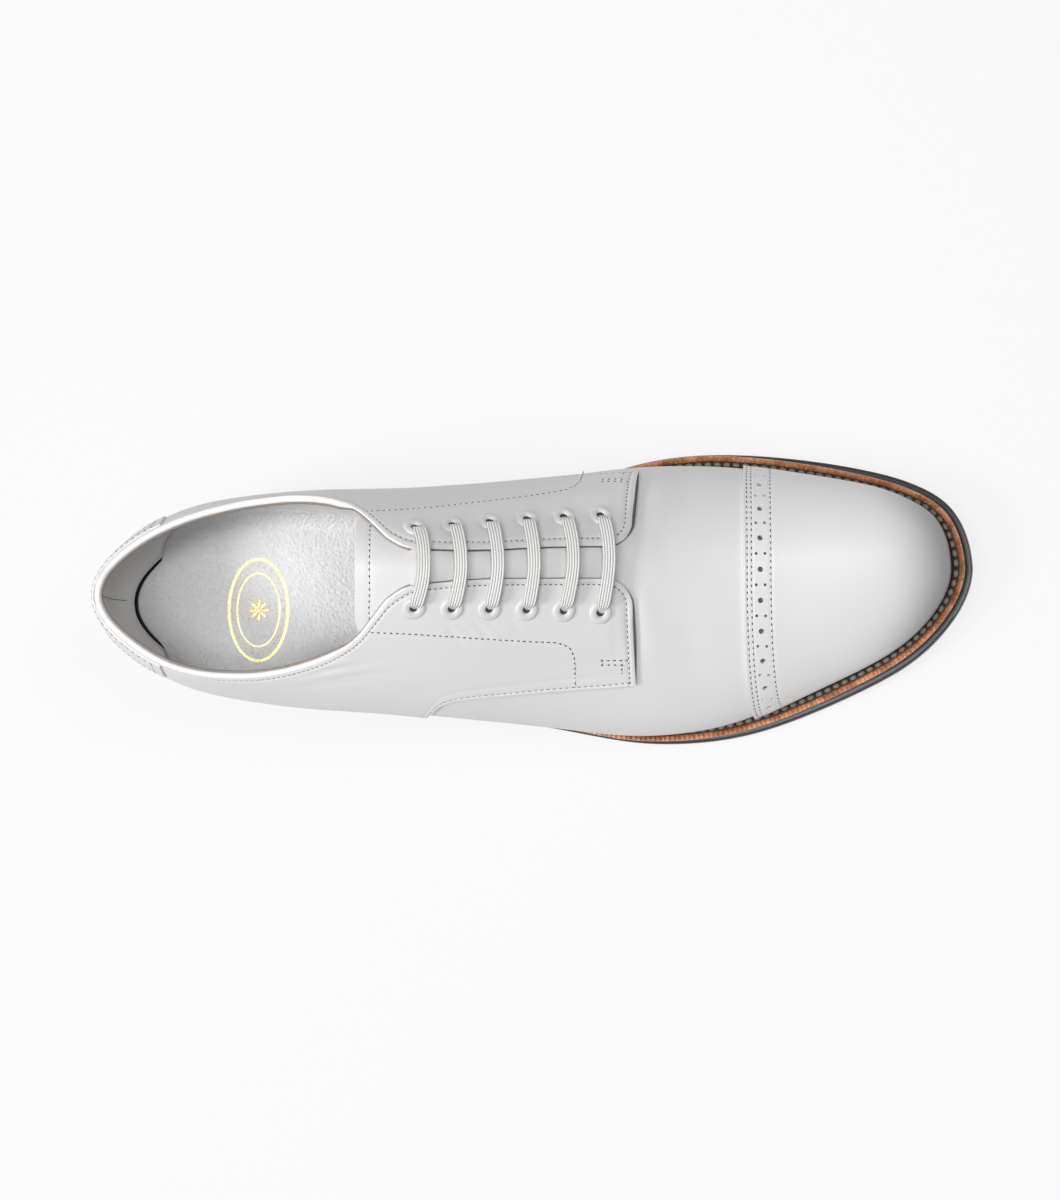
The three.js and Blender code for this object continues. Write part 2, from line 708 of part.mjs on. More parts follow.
function tongue() {
  const columns = even(TONGUE_HALF_COLUMNS);
  const across = [...columns.map((t) => -t).reverse(), ...columns.slice(1)];
  const rows = even(TONGUE_ROWS);
  const clearance = (3 * GAP) / LAST_LENGTH;
  const place = (i, j, offset) => {
    const half = TONGUE_HALF_WIDTH + TONGUE_TAPER * (1 - rows[i]);
    const side = sideOf(across[j]);
    const guess = turnOf(mix(TONGUE_TOP_AT, VAMP_REAR.at[0], rows[i]));
    const share = (across[j] * half) / girthAt(guess, side);
    const top = TONGUE_TOP_AT + TONGUE_DIP * (1 - across[j] ** 2) + TONGUE_CORNER * across[j] ** TONGUE_CORNER_CURVE;
    const front = vampRear(abs(share)) - clearance;
    const turn = turnOf(mix(top, front, rows[i]));
    return skin(turn, (across[j] * half) / girthAt(turn, side), offset);
  };
  return sheet(
    rows.length,
    across.length,
    (i, j) => place(i, j, TONGUE_THICKNESS),
    (i, j) => place(i, j, 0),
  );
}

// Rolled binding along the collar, on the top edge of the quarters.
const BINDING_PROFILE = table(
  ['depth', 'outer', 'inner'],
  [
    [1, 0, 0.3],
    [0.55, 1, 0],
    [0, 0, 0.9],
  ],
);

function collarBinding() {
  const path = bothSides(quarterStations().slice(0, COLLAR_COLUMNS + 1));
  const place = (i, j, outside) => {
    const [station, side] = path[i];
    const turn = station * facingFront(0);
    const name = side > 0 ? 'medial' : 'lateral';
    const depth = BINDING_PROFILE.depth[j] * (BINDING_DEPTH - GAP);
    const share = side * (topLine[name](atOf(turn)) + depth / girthAt(turn, side));
    const roll = BINDING_ROLL * (outside ? BINDING_PROFILE.outer[j] : BINDING_PROFILE.inner[j]);
    return skin(turn, share, (outside ? quarterOutside : quarterInside)(turn, share) + roll);
  };
  const count = BINDING_PROFILE.depth.length;
  return sheet(path.length, count, (i, j) => place(i, j, false), (i, j) => place(i, j, true));
}

// Backstay: a strip round the back of the collar, on the quarters.
const BACKSTAY_HEIGHT = 26;
const BACKSTAY_SWEEP = 0.45;
const BACKSTAY_ROWS = 4;
const BACKSTAY_COLUMNS = 6;

function backstay() {
  const shares = even(BACKSTAY_COLUMNS);
  const path = [...shares.slice(1).reverse().map((s) => -s), ...shares];
  const rises = even(BACKSTAY_ROWS);
  const place = (i, j, offset) => {
    const side = path[i] < 0 ? -1 : 1;
    const turn = abs(path[i]) * turnOf(BACKSTAY_AT);
    const name = side > 0 ? 'medial' : 'lateral';
    const height = BACKSTAY_HEIGHT * (1 - BACKSTAY_SWEEP * path[i] ** 2);
    const depth = mix(height, BINDING_DEPTH + GAP, rises[j]);
    const share = side * (topLine[name](atOf(turn)) + depth / girthAt(turn, side));
    return skin(turn, share, quarterOutside(turn, share) + offset);
  };
  return sheet(
    path.length,
    rises.length,
    (i, j) => place(i, j, GAP),
    (i, j) => place(i, j, GAP + BACKSTAY_THICKNESS),
  );
}

// Outline of the bottom: the last's foot line moved outward in plan, all the way round.
const OUTLINE_STATIONS = 30;

function footPoint(turn, side) {
  const point = lastPoint(turn, side);
  return new THREE.Vector2(point.x, point.y);
}

function outlinePoint(turn, side, reach) {
  const near = clamp(turn, TURN_STEP, 1 - TURN_STEP);
  const run = footPoint(near + TURN_STEP, side).sub(footPoint(near - TURN_STEP, side)).normalize();
  const out = new THREE.Vector2(-run.y, run.x).multiplyScalar(side);
  if (turn < TURN_STEP || turn > 1 - TURN_STEP) {
    out.set(turn < 0.5 ? -1 : 1, 0);
  }
  return footPoint(turn, side).addScaledVector(out, reach);
}

function soleReach(turn, side) {
  return SOLE_REACH * (side > 0 ? margins.medial(turn) : margins.lateral(turn));
}

// Stacked closed rings become one solid with flat-across ends. Each layer gives, for a turn
// and a side, a reach from the foot line and a height.
function layered(turnList, layers, closeFront) {
  const positions = [];
  const faces = [];
  const rings = layers.map((layer) => {
    const lateral = turnList.map((turn) => layer(turn, -1));
    const medial = turnList.map((turn) => layer(turn, 1)).reverse();
    return [...lateral, ...medial].map((point) => {
      positions.push(...point.toArray());
      return positions.length / 3 - 1;
    });
  });
  const count = rings[0].length;
  for (let k = 0; k + 1 < rings.length; k++) {
    for (let i = 0; i < count; i++) {
      const next = (i + 1) % count;
      faces.push(rings[k][i], rings[k][next], rings[k + 1][next]);
      faces.push(rings[k][i], rings[k + 1][next], rings[k + 1][i]);
    }
  }
  const half = turnList.length;
  const [bottom, top] = [rings[0], rings[rings.length - 1]];
  for (let i = 0; i + 1 < half; i++) {
    const far = count - 1 - i;
    faces.push(bottom[i], bottom[far], bottom[far - 1], bottom[i], bottom[far - 1], bottom[i + 1]);
    faces.push(top[i], top[i + 1], top[far - 1], top[i], top[far - 1], top[far]);
  }
  return closedGeometry(positions, faces);
}

const allTurns = even(OUTLINE_STATIONS);

function edgePoint(turn, side, reach, heightOf) {
  const plan = outlinePoint(turn, side, reach);
  return new THREE.Vector3(plan.x, plan.y, heightOf(plan.x));
}

function outsole() {
  const flats = [TREAD_BACK_AT, TREAD_FRONT_AT].map(turnOf);
  const list = [...allTurns, ...flats].sort((a, b) => a - b);
  const layer = (inset, lift) => (turn, side) =>
    edgePoint(turn, side, soleReach(turn, side) - inset, (x) => underside(x) + lift);
  return layered(list, [
    layer(EDGE_ROUND, 0),
    layer(0, EDGE_ROUND),
    layer(0, OUTSOLE_THICKNESS - EDGE_ROUND),
    layer(EDGE_ROUND, OUTSOLE_THICKNESS),
  ]);
}

// Heel: the stack under the seat and its top lift, cut off in front by a hollow breast.
const HEEL_STATIONS = 12;
const HEEL_TAPER = 1.5;
const BREAST_SHARE = 0.79;
const BREAST_SIDES = 96;

function heelPart(low, high, lowInset, highInset) {
  const list = even(HEEL_STATIONS).map((t) => t * turnOf(BREAST_AT));
  const layer = (inset, heightOf) => (turn, side) => {
    const point = edgePoint(turn, side, soleReach(turn, side) - inset, heightOf);
    point.x = min(point.x, BREAST - GAP);
    return point;
  };
  return layered(list, [layer(lowInset, low), layer(highInset, high)]);
}

function breastCutter() {
  const chord = BALL_WIDTH * BREAST_SHARE;
  const radius = chord ** 2 / (8 * BREAST_HOLLOW);
  const cylinder = new THREE.CylinderGeometry(radius, radius, 3 * HEEL_HEIGHT, BREAST_SIDES).rotateX(PI / 2);
  cylinder.translate(BREAST + radius - BREAST_HOLLOW, 0, 0);
  return toSolid(bareGeometry(cylinder));
}

function heelGeometries() {
  const cutter = breastCutter();
  const taperAt = TOP_LIFT / HEEL_HEIGHT;
  const cut = (geometry) => toGeometry(toSolid(geometry).subtract(cutter));
  const topLift = heelPart(() => 0, () => TOP_LIFT, HEEL_TAPER + EDGE_ROUND / 2, HEEL_TAPER * (1 - taperAt));
  const stack = heelPart(
    () => TOP_LIFT + GAP,
    (x) => underside(x) - GAP,
    HEEL_TAPER * (1 - taperAt),
    0,
  );
  return { topLift: cut(topLift), stack: cut(stack) };
}

// Welt: a ring on the outsole's edge under the upper, with a raised ridge along its outside.
const WELT_STATIONS = 36;
const RIDGE_SHOULDER = 0.7;
const RIDGE_CREST = 0.4;

function welt() {
  const list = even(WELT_STATIONS);
  const path = [...list.map((t) => [t, -1]), ...list.slice(1, -1).reverse().map((t) => [t, 1])];
  const inset = (turn, side) => (side > 0 ? margins.medialInset : margins.lateralInset)(turn);
  const outerReach = (turn, side) => soleReach(turn, side) - SOLE_REACH * inset(turn, side);
  const room = (turn, side) => outerReach(turn, side) - WELT_RIDGE_WIDTH - WALL;
  const ridge = (turn, side) => WELT_RIDGE * smooth(room(turn, side), GAP, GAP + WALL / 2);
  const foot = OUTSOLE_THICKNESS + GAP;
  const top = OUTSOLE_THICKNESS + WELT_THICKNESS;
  const profile = [
    [() => 0, () => foot],
    [outerReach, () => foot],
    [outerReach, (turn, side) => top + ridge(turn, side) * RIDGE_SHOULDER],
    [
      (turn, side) => outerReach(turn, side) - WELT_RIDGE_WIDTH * RIDGE_CREST,
      (turn, side) => top + ridge(turn, side),
    ],
    [(turn, side) => outerReach(turn, side) - WELT_RIDGE_WIDTH, () => top],
    [() => 0, () => top],
  ];
  const positions = [];
  const faces = [];
  path.forEach(([turn, side]) => {
    profile.forEach(([reach, lift]) => {
      const point = edgePoint(turn, side, reach(turn, side), (x) => underside(x) + lift(turn, side));
      positions.push(...point.toArray());
    });
  });
  const sides = profile.length;
  path.forEach((_, i) => {
    const next = (i + 1) % path.length;
    for (let k = 0; k < sides; k++) {
      const over = (k + 1) % sides;
      const [a, b, c, d] = [i * sides + k, i * sides + over, next * sides + over, next * sides + k];
      faces.push(a, c, b, a, d, c);
    }
  });
  return closedGeometry(positions, faces);
}

// Insole board, inside the welt and the foot of the upper.
function insole() {
  const board = (lift, inset) => (turn, side) =>
    edgePoint(turn, side, -inset, (x) => underside(x) + OUTSOLE_THICKNESS + lift);
  return layered(allTurns, [board(GAP, 2 * GAP), board(WELT_THICKNESS + INSOLE_RISE, 2 * GAP)]);
}

// Lace bars: flat bands from eyelet to eyelet, bowed towards the toe.
const LACE_STEPS = 12;
const LACE_END_WIDTH = 0.62;
const LACE_SPREAD = 0.5;

function laceBar(from, to) {
  const positions = [];
  const faces = [];
  const clear = EYELET_RISE + EYELET_DIAMETER ** 2 / 4 / BALL_WIDTH + 2 * GAP + LACE_THICKNESS / 2;
  for (let i = 0; i <= LACE_STEPS; i++) {
    const t = i / LACE_STEPS;
    const arch = sin(PI * t);
    const turn = turnOf(atOf(from.turn) + (LACE_BOW * arch) / LAST_LENGTH);
    const share = mix(from.share, to.share, t);
    const centre = from.seat.clone().lerp(to.seat, t);
    const normal = normalAt(turn, share);
    const lift = max(normal.dot(skin(turn, share, quarterOutside(turn, share)).sub(centre)), 0);
    centre.addScaledVector(normal, clear + lift);
    centre.x += LACE_BOW * arch;
    const width = (LACE_WIDTH / 2) * mix(LACE_END_WIDTH, 1, smooth(arch, 0, LACE_SPREAD));
    const along = new THREE.Vector3(1, 0, 0).addScaledVector(normal, -normal.x).normalize();
    [[-1, -1], [1, -1], [1, 1], [-1, 1]].forEach(([across, up]) => {
      const corner = centre.clone().addScaledVector(along, across * width);
      corner.addScaledVector(normal, (up * LACE_THICKNESS) / 2);
      positions.push(...corner.toArray());
    });
  }
  for (let i = 0; i < LACE_STEPS; i++) {
    for (let k = 0; k < 4; k++) {
      const over = (k + 1) % 4;
      const [a, b, c, d] = [i * 4 + k, i * 4 + over, i * 4 + 4 + over, i * 4 + 4 + k];
      faces.push(a, b, c, a, c, d);
    }
  }
  const end = LACE_STEPS * 4;
  faces.push(0, 2, 1, 0, 3, 2, end, end + 1, end + 2, end, end + 2, end + 3);
  return closedGeometry(positions, faces);
}

// Upper: vamp and quarters made one hollow solid, with its eyelet holes.
function upper(frames) {
  let solid = toSolid(vampShell()).add(toSolid(quarterShell()));
  frames.forEach((frame) => {
    solid = solid.subtract(eyeletPunch(frame));
  });
  return toGeometry(solid);
}

const finishes = {
  leather: new THREE.MeshStandardMaterial({ color: '#dedddd', roughness: 0.42, metalness: 0 }),
  binding: new THREE.MeshStandardMaterial({ color: '#f1f0ef', roughness: 0.5, metalness: 0 }),
  insole: new THREE.MeshStandardMaterial({ color: '#d3d2d2', roughness: 0.55, metalness: 0 }),
  welt: new THREE.MeshStandardMaterial({ color: '#b0673e', roughness: 0.6, metalness: 0 }),
  sole: new THREE.MeshStandardMaterial({ color: '#26262a', roughness: 0.45, metalness: 0 }),
  rubber: new THREE.MeshStandardMaterial({ color: '#1c1c1e', roughness: 0.7, metalness: 0 }),
  lace: new THREE.MeshStandardMaterial({ color: '#e6e5e4', roughness: 0.8, metalness: 0 }),
  eyelet: new THREE.MeshStandardMaterial({ color: '#ecebea', roughness: 0.35, metalness: 0 }),
};

const shoe = new THREE.Group();

function piece(name, geometry, finish) {
  const mesh = new THREE.Mesh(geometry, finish);
  mesh.name = name;
  shoe.add(mesh);
}

const frames = eyeletFrames();
const heel = heelGeometries();
piece('upper', upper(frames), finishes.leather);
piece('toe_cap', toeCap(), finishes.leather);
piece('tongue', tongue(), finishes.leather);
piece('backstay', backstay(), finishes.leather);
piece('collar_binding', collarBinding(), finishes.binding);
piece('insole', insole(), finishes.insole);
piece('welt', welt(), finishes.welt);
piece('outsole', outsole(), finishes.sole);
piece('heel_stack', heel.stack, finishes.sole);
piece('heel_top_lift', heel.topLift, finishes.rubber);
frames.forEach((frame) => {
  piece(`eyelet_${frame.name}_${frame.pair + 1}`, eyeletGeometry(frame), finishes.eyelet);
});
for (let pair = 0; pair < EYELET_PAIRS; pair++) {
  const [from, to] = frames.filter((frame) => frame.pair === pair);
  piece(`lace_bar_${pair + 1}`, laceBar(from, to), finishes.lace);
}

// The origin is under the middle of the shoe's box.
const box = new THREE.Box3().setFromObject(shoe);
const middle = box.getCenter(new THREE.Vector3());
shoe.position.set(-middle.x, -middle.y, 0);

export default shoe;
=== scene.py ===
"""Open-laced cap toe dress shoe for the right foot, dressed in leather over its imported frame.

Shapes are worked out in millimetres on the last, with x from the heel to the toe, y to the
inner (medial) side and z up, and laid into the part's frame in metres as each mesh is made.
"""

import math

import bpy
import numpy as np
from mathutils import Matrix


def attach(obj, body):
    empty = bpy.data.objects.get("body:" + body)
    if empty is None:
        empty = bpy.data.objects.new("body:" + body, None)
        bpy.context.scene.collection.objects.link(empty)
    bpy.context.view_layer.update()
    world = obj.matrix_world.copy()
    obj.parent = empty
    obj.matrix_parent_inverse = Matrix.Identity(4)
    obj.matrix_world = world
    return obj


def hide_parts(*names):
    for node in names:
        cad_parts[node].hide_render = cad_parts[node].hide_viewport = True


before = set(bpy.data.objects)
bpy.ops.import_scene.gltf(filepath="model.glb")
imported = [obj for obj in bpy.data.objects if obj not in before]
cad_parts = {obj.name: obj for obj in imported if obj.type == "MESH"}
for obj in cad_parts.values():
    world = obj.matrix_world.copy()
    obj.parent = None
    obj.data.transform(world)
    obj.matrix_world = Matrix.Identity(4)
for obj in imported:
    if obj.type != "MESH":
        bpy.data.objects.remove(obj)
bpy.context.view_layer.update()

# Metres in a millimetre.
MM = 0.001

# The part's origin, under the middle of its box, in the last's own millimetres.
ORIGIN_X = 152.012
ORIGIN_Y = 1.887

# Sizes of the last and the bottom, in millimetres, as in the part.
LAST_LENGTH = 290.0
BALL_WIDTH = 90.0
INSTEP_HEIGHT = 81.0
HEEL_HEIGHT = 24.0
SEAT_PITCH = 4.0
TOE_SPRING = 12.5
HEEL_BACK = 3.5
HEEL_FOOT_TUCK = 4.0
HEEL_TOP_LEAN = 6.6
TOE_FOOT_TUCK = 1.5
OUTSOLE_THICKNESS = 5.0
WELT_THICKNESS = 3.5
SOLE_REACH = 10.0
TOP_LIFT = 6.0
GAP = 0.3
BREAST_AT = 0.255
TREAD_BACK_AT = 0.638
TREAD_FRONT_AT = 0.713

# Sizes of the upper, in millimetres or as places along the last.
WALL = 2.0
LINING_STEP = 0.4
QUARTER_STEP = 0.8
FACING_STEP = 0.8
CAP_THICKNESS = 1.2
TONGUE_THICKNESS = 1.8
TONGUE_HALF_WIDTH = 21.0
TONGUE_TAPER = 3.0
FACING_CORNER = 9.0
FACING_FRONT_AT = 0.6395
COLLAR_FRONT_AT = 0.4
TONGUE_TOP_AT = 0.325
TONGUE_JOIN_AT = 0.6
CAP_AT = 0.7685
CAP_SWEEP = 0.016
BACKSTAY_AT = 0.085
BACKSTAY_HEIGHT = 26.0
EYELET_PAIRS = 6
EYELET_DIAMETER = 8.2
EYELET_BORE = 3.8
FIRST_EYELET_AT = 0.3975
LAST_EYELET_AT = 0.602
LACE_WIDTH = 5.0
LACE_THICKNESS = 1.2
LACE_BOWS = (1.5, 0.9, 0.7, 0.4, 1.3, 1.2)
LACE_RIBS = 5


def table(names, rows):
    return {name: np.array([row[i] for row in rows]) for i, name in enumerate(names.split())}


# The last's sections, as shares of the ball width and the instep height.
SECTIONS = table(
    "at medial lateral bulge medial_foot lateral_foot ridge_side ridge medial_round lateral_round",
    [
        (0.000, 0.009, -0.009, 0.222, 0.009, -0.009, 0.009, 0.815, 2.20, 2.20),
        (0.050, 0.240, 0.216, 0.222, 0.208, 0.186, 0.013, 0.848, 2.10, 2.20),
        (0.100, 0.330, 0.304, 0.222, 0.288, 0.267, 0.020, 0.889, 1.95, 2.08),
        (0.170, 0.376, 0.357, 0.222, 0.329, 0.318, 0.029, 0.931, 2.10, 1.78),
        (0.250, 0.396, 0.389, 0.235, 0.327, 0.344, 0.047, 0.973, 2.28, 1.48),
        (0.320, 0.403, 0.404, 0.247, 0.307, 0.355, 0.073, 1.005, 2.05, 1.49),
        (0.380, 0.410, 0.420, 0.247, 0.296, 0.366, 0.089, 0.985, 1.75, 1.56),
        (0.450, 0.429, 0.442, 0.241, 0.311, 0.392, 0.100, 0.922, 1.66, 1.60),
        (0.550, 0.474, 0.476, 0.198, 0.392, 0.442, 0.116, 0.806, 1.70, 1.70),
        (0.620, 0.504, 0.498, 0.160, 0.456, 0.474, 0.120, 0.699, 1.80, 1.80),
        (0.680, 0.512, 0.490, 0.142, 0.486, 0.469, 0.116, 0.599, 1.90, 1.90),
        (0.750, 0.502, 0.444, 0.130, 0.481, 0.425, 0.109, 0.507, 2.00, 2.00),
        (0.820, 0.470, 0.349, 0.117, 0.450, 0.331, 0.109, 0.422, 2.10, 2.10),
        (0.880, 0.436, 0.260, 0.105, 0.419, 0.242, 0.111, 0.353, 2.20, 2.20),
        (0.930, 0.396, 0.176, 0.093, 0.380, 0.161, 0.116, 0.286, 2.25, 2.25),
        (0.960, 0.353, 0.104, 0.081, 0.340, 0.091, 0.120, 0.232, 2.30, 2.30),
        (0.985, 0.292, 0.012, 0.072, 0.281, 0.003, 0.122, 0.165, 2.30, 2.30),
        (1.000, 0.122, -0.122, 0.062, 0.122, -0.122, 0.122, 0.086, 2.30, 2.30),
    ],
)

# How far the sole stands out past the last, and how far the welt stays inside its edge.
MARGINS = table(
    "at medial lateral medial_inset lateral_inset",
    [
        (0.00, 0.45, 0.45, 0.08, 0.08),
        (0.15, 0.42, 0.42, 0.08, 0.08),
        (0.30, 0.40, 0.42, 0.08, 0.08),
        (0.45, 0.52, 0.50, 0.08, 0.10),
        (0.55, 0.69, 0.56, 0.10, 0.14),
        (0.62, 0.86, 0.62, 0.12, 0.18),
        (0.68, 0.90, 0.71, 0.15, 0.22),
        (0.75, 0.97, 0.84, 0.20, 0.26),
        (0.82, 1.05, 1.02, 0.26, 0.30),
        (0.90, 1.02, 1.06, 0.32, 0.33),
        (0.96, 1.04, 1.04, 0.34, 0.34),
        (1.00, 1.16, 1.16, 0.34, 0.34),
    ],
)

# Top edge of the quarters, as shares of the side's girth below the ridge.
TOP_LINE = table(
    "at medial lateral",
    [
        (0.000, 0.144, 0.144),
        (0.015, 0.225, 0.226),
        (0.040, 0.288, 0.297),
        (0.070, 0.342, 0.363),
        (0.110, 0.396, 0.420),
        (0.150, 0.438, 0.448),
        (0.190, 0.461, 0.454),
        (0.230, 0.459, 0.434),
        (0.265, 0.429, 0.394),
        (0.295, 0.376, 0.345),
        (0.316, 0.319, 0.295),
        (0.337, 0.245, 0.230),
        (0.356, 0.167, 0.154),
        (0.374, 0.101, 0.090),
        (0.400, 0.060, 0.052),
        (0.470, 0.050, 0.040),
        (0.550, 0.061, 0.047),
        (0.660, 0.080, 0.054),
    ],
)

# Lower edge of the quarters, where they lie on the vamp.
LOWER_LINE = table(
    "at medial lateral",
    [
        (0.355, 1.000, 1.000),
        (0.366, 0.950, 0.930),
        (0.382, 0.850, 0.800),
        (0.395, 0.760, 0.700),
        (0.411, 0.680, 0.613),
        (0.435, 0.630, 0.562),
        (0.481, 0.600, 0.525),
        (0.569, 0.585, 0.487),
        (0.660, 0.580, 0.472),
    ],
)

# Rear edge of the vamp under the quarters, by share of girth.
VAMP_REAR = table(
    "girth at",
    [
        (0.00, 0.600),
        (0.30, 0.600),
        (0.36, 0.570),
        (0.40, 0.530),
        (0.44, 0.490),
        (0.50, 0.440),
        (0.56, 0.405),
        (0.65, 0.375),
        (0.80, 0.350),
        (1.00, 0.335),
    ],
)

# Eyelet centres, millimetres of skin from the ridge.
EYELETS = table(
    "at medial lateral",
    [(0.39, 13.9, 12.5), (0.50, 15.4, 13.8), (0.61, 16.2, 15.8)],
)


def smooth(value, start, end):
    t = np.clip((np.asarray(value, float) - start) / (end - start), 0, 1)
    return t * t * (3 - 2 * t)


def mix(a, b, t):
    return a + (b - a) * t


def bell(value, centre, width):
    return np.exp(-(((value - centre) / width) ** 2))


def spline(xs, ys):
    """Natural cubic spline through the points."""
    step = np.diff(xs)
    count = len(xs)
    matrix = np.eye(count)
    rhs = np.zeros(count)
    slope = np.diff(ys) / step
    for i in range(1, count - 1):
        matrix[i, i - 1 : i + 2] = step[i - 1], 2 * (step[i - 1] + step[i]), step[i]
        rhs[i] = 6 * (slope[i] - slope[i - 1])
    bend = np.linalg.solve(matrix, rhs)

    def value(at):
        at = np.clip(at, xs[0], xs[-1])
        i = np.clip(np.searchsorted(xs, at) - 1, 0, count - 2)
        a = (xs[i + 1] - at) / step[i]
        b = (at - xs[i]) / step[i]
        curve = ((a**3 - a) * bend[i] + (b**3 - b) * bend[i + 1]) * step[i] ** 2 / 6
        return a * ys[i] + b * ys[i + 1] + curve

    return value


def eased(xs, ys):
    """Smooth curve through the points that never overshoots them."""
    step = np.diff(xs)
    slope = np.diff(ys) / step
    before = np.concatenate([slope[:1], slope])
    after = np.concatenate([slope, slope[-1:]])
    together = before * after > 0
    lean = np.where(together, 2 * before * after / np.where(together, before + after, 1), 0)

    def value(at):
        at = np.clip(at, xs[0], xs[-1])
        i = np.clip(np.searchsorted(xs, at) - 1, 0, len(xs) - 2)
        t = (at - xs[i]) / step[i]
        hold = 1 - 3 * t**2 + 2 * t**3
        start = (t - 2 * t**2 + t**3) * step[i] * lean[i]
        end = (t**3 - t**2) * step[i] * lean[i + 1]
        return hold * ys[i] + (1 - hold) * ys[i + 1] + start + end

    return value


def turn_of(at):
    return np.arccos(np.clip(1 - 2 * np.asarray(at, float), -1, 1)) / math.pi


def at_of(turn):
    return (1 - np.cos(math.pi * np.asarray(turn, float))) / 2


def x_at(at):
    return HEEL_BACK + LAST_LENGTH * at


BREAST = x_at(BREAST_AT)
TREAD_BACK = x_at(TREAD_BACK_AT)
TREAD_FRONT = x_at(TREAD_FRONT_AT)
TOE = x_at(1.0)
SPRING_CURVE = 1.9

shape = {name: spline(turn_of(SECTIONS["at"]), SECTIONS[name]) for name in SECTIONS if name != "at"}
margin = {
    "medial": spline(turn_of(MARGINS["at"]), MARGINS["medial"]),
    "lateral": spline(turn_of(MARGINS["at"]), MARGINS["lateral"]),
    "medial_inset": eased(turn_of(MARGINS["at"]), MARGINS["medial_inset"]),
    "lateral_inset": eased(turn_of(MARGINS["at"]), MARGINS["lateral_inset"]),
}
top_line = {side: eased(TOP_LINE["at"], TOP_LINE[side]) for side in ("medial", "lateral")}
lower_line = {side: eased(LOWER_LINE["at"], LOWER_LINE[side]) for side in ("medial", "lateral")}
vamp_rear = eased(VAMP_REAR["girth"], VAMP_REAR["at"])
eyelet_reach = {side: eased(EYELETS["at"], EYELETS[side]) for side in ("medial", "lateral")}


def by_side(curves, at, side):
    """Value of a medial and lateral pair of curves at places along the last."""
    return np.where(np.asarray(side) > 0, curves["medial"](at), curves["lateral"](at))


def underside(x):
    """Height of the outsole's underside at a distance along the shoe."""
    x = np.asarray(x, float)
    seat = HEEL_HEIGHT - SEAT_PITCH * (np.maximum(x, 0) / BREAST) ** 2
    run = TREAD_BACK - BREAST
    t = np.clip((x - BREAST) / run, 0, 1)
    slope = -2 * SEAT_PITCH / BREAST * run
    shank = (HEEL_HEIGHT - SEAT_PITCH) * (1 - 3 * t**2 + 2 * t**3) + slope * (t - 2 * t**2 + t**3)
    toe = TOE_SPRING * (np.maximum(x - TREAD_FRONT, 0) / (TOE + SOLE_REACH - TREAD_FRONT)) ** SPRING_CURVE
    return np.where(x < BREAST, seat, np.where(x < TREAD_BACK, shank, toe))


def foot_line(x):
    return underside(x) + OUTSOLE_THICKNESS + WELT_THICKNESS


# Lookup of the last's sections, fine enough that it shows no facets.
STATIONS = 1200
SHARES = 400
FOOT_LEAN = 0.7


def side_of_last(name, sign):
    """Skin of one side at even shares of girth: across and up at each station, and the girths."""
    turn = np.linspace(0, 1, STATIONS + 1)
    wide = sign * BALL_WIDTH * shape[name](turn)[:, None]
    foot = sign * BALL_WIDTH * shape[name + "_foot"](turn)[:, None]
    bulge = INSTEP_HEIGHT * shape["bulge"](turn)[:, None]
    ridge = INSTEP_HEIGHT * shape["ridge"](turn)[:, None]
    ridge_side = BALL_WIDTH * shape["ridge_side"](turn)[:, None]
    power = 2 / shape[name + "_round"](turn)[:, None]
    low = np.linspace(FOOT_LEAN, math.pi / 2, 24)[None, :]
    out = (np.sin(low) - math.sin(FOOT_LEAN)) / (1 - math.sin(FOOT_LEAN))
    high = np.linspace(0, math.pi / 2, 90)[None, 1:]
    across = np.hstack([
        mix(foot, wide, out),
        mix(ridge_side, wide, np.clip(np.cos(high), 0, 1) ** power),
    ])
    up = np.hstack([
        bulge * (1 - np.cos(low) / math.cos(FOOT_LEAN)),
        mix(bulge, ridge, np.sin(high) ** power),
    ])
    runs = np.hstack([np.zeros_like(wide), np.cumsum(np.hypot(np.diff(across), np.diff(up)), axis=1)])
    girth = runs[:, -1]
    shares = np.linspace(1, 0, SHARES + 1)
    grid = np.empty((STATIONS + 1, SHARES + 1, 2))
    for i in range(STATIONS + 1):
        grid[i, :, 0] = np.interp(shares * girth[i], runs[i], across[i])
        grid[i, :, 1] = np.interp(shares * girth[i], runs[i], up[i])
    return grid, girth


last_sides = [side_of_last("lateral", -1), side_of_last("medial", 1)]
last_grid = np.stack([side[0] for side in last_sides])
last_girth = np.stack([side[1] for side in last_sides])


def girth_at(turn, side):
    """Millimetres of skin from the ridge to the foot line."""
    turn, side = np.broadcast_arrays(np.asarray(turn, float), side)
    even_turn = np.linspace(0, 1, STATIONS + 1)
    lateral = np.interp(turn, even_turn, last_girth[0])
    medial = np.interp(turn, even_turn, last_girth[1])
    return np.where(side > 0, medial, lateral)


def side_of(share):
    return np.where(np.asarray(share) < 0, -1, 1)


HEEL_LEAN_RUN = 0.66
TOE_TUCK_RUN = 0.28
LEAN_CURVE = 1.8


def as_arrays(*values):
    """The values as float arrays of one shape."""
    return np.broadcast_arrays(*[np.asarray(value, float) for value in values])


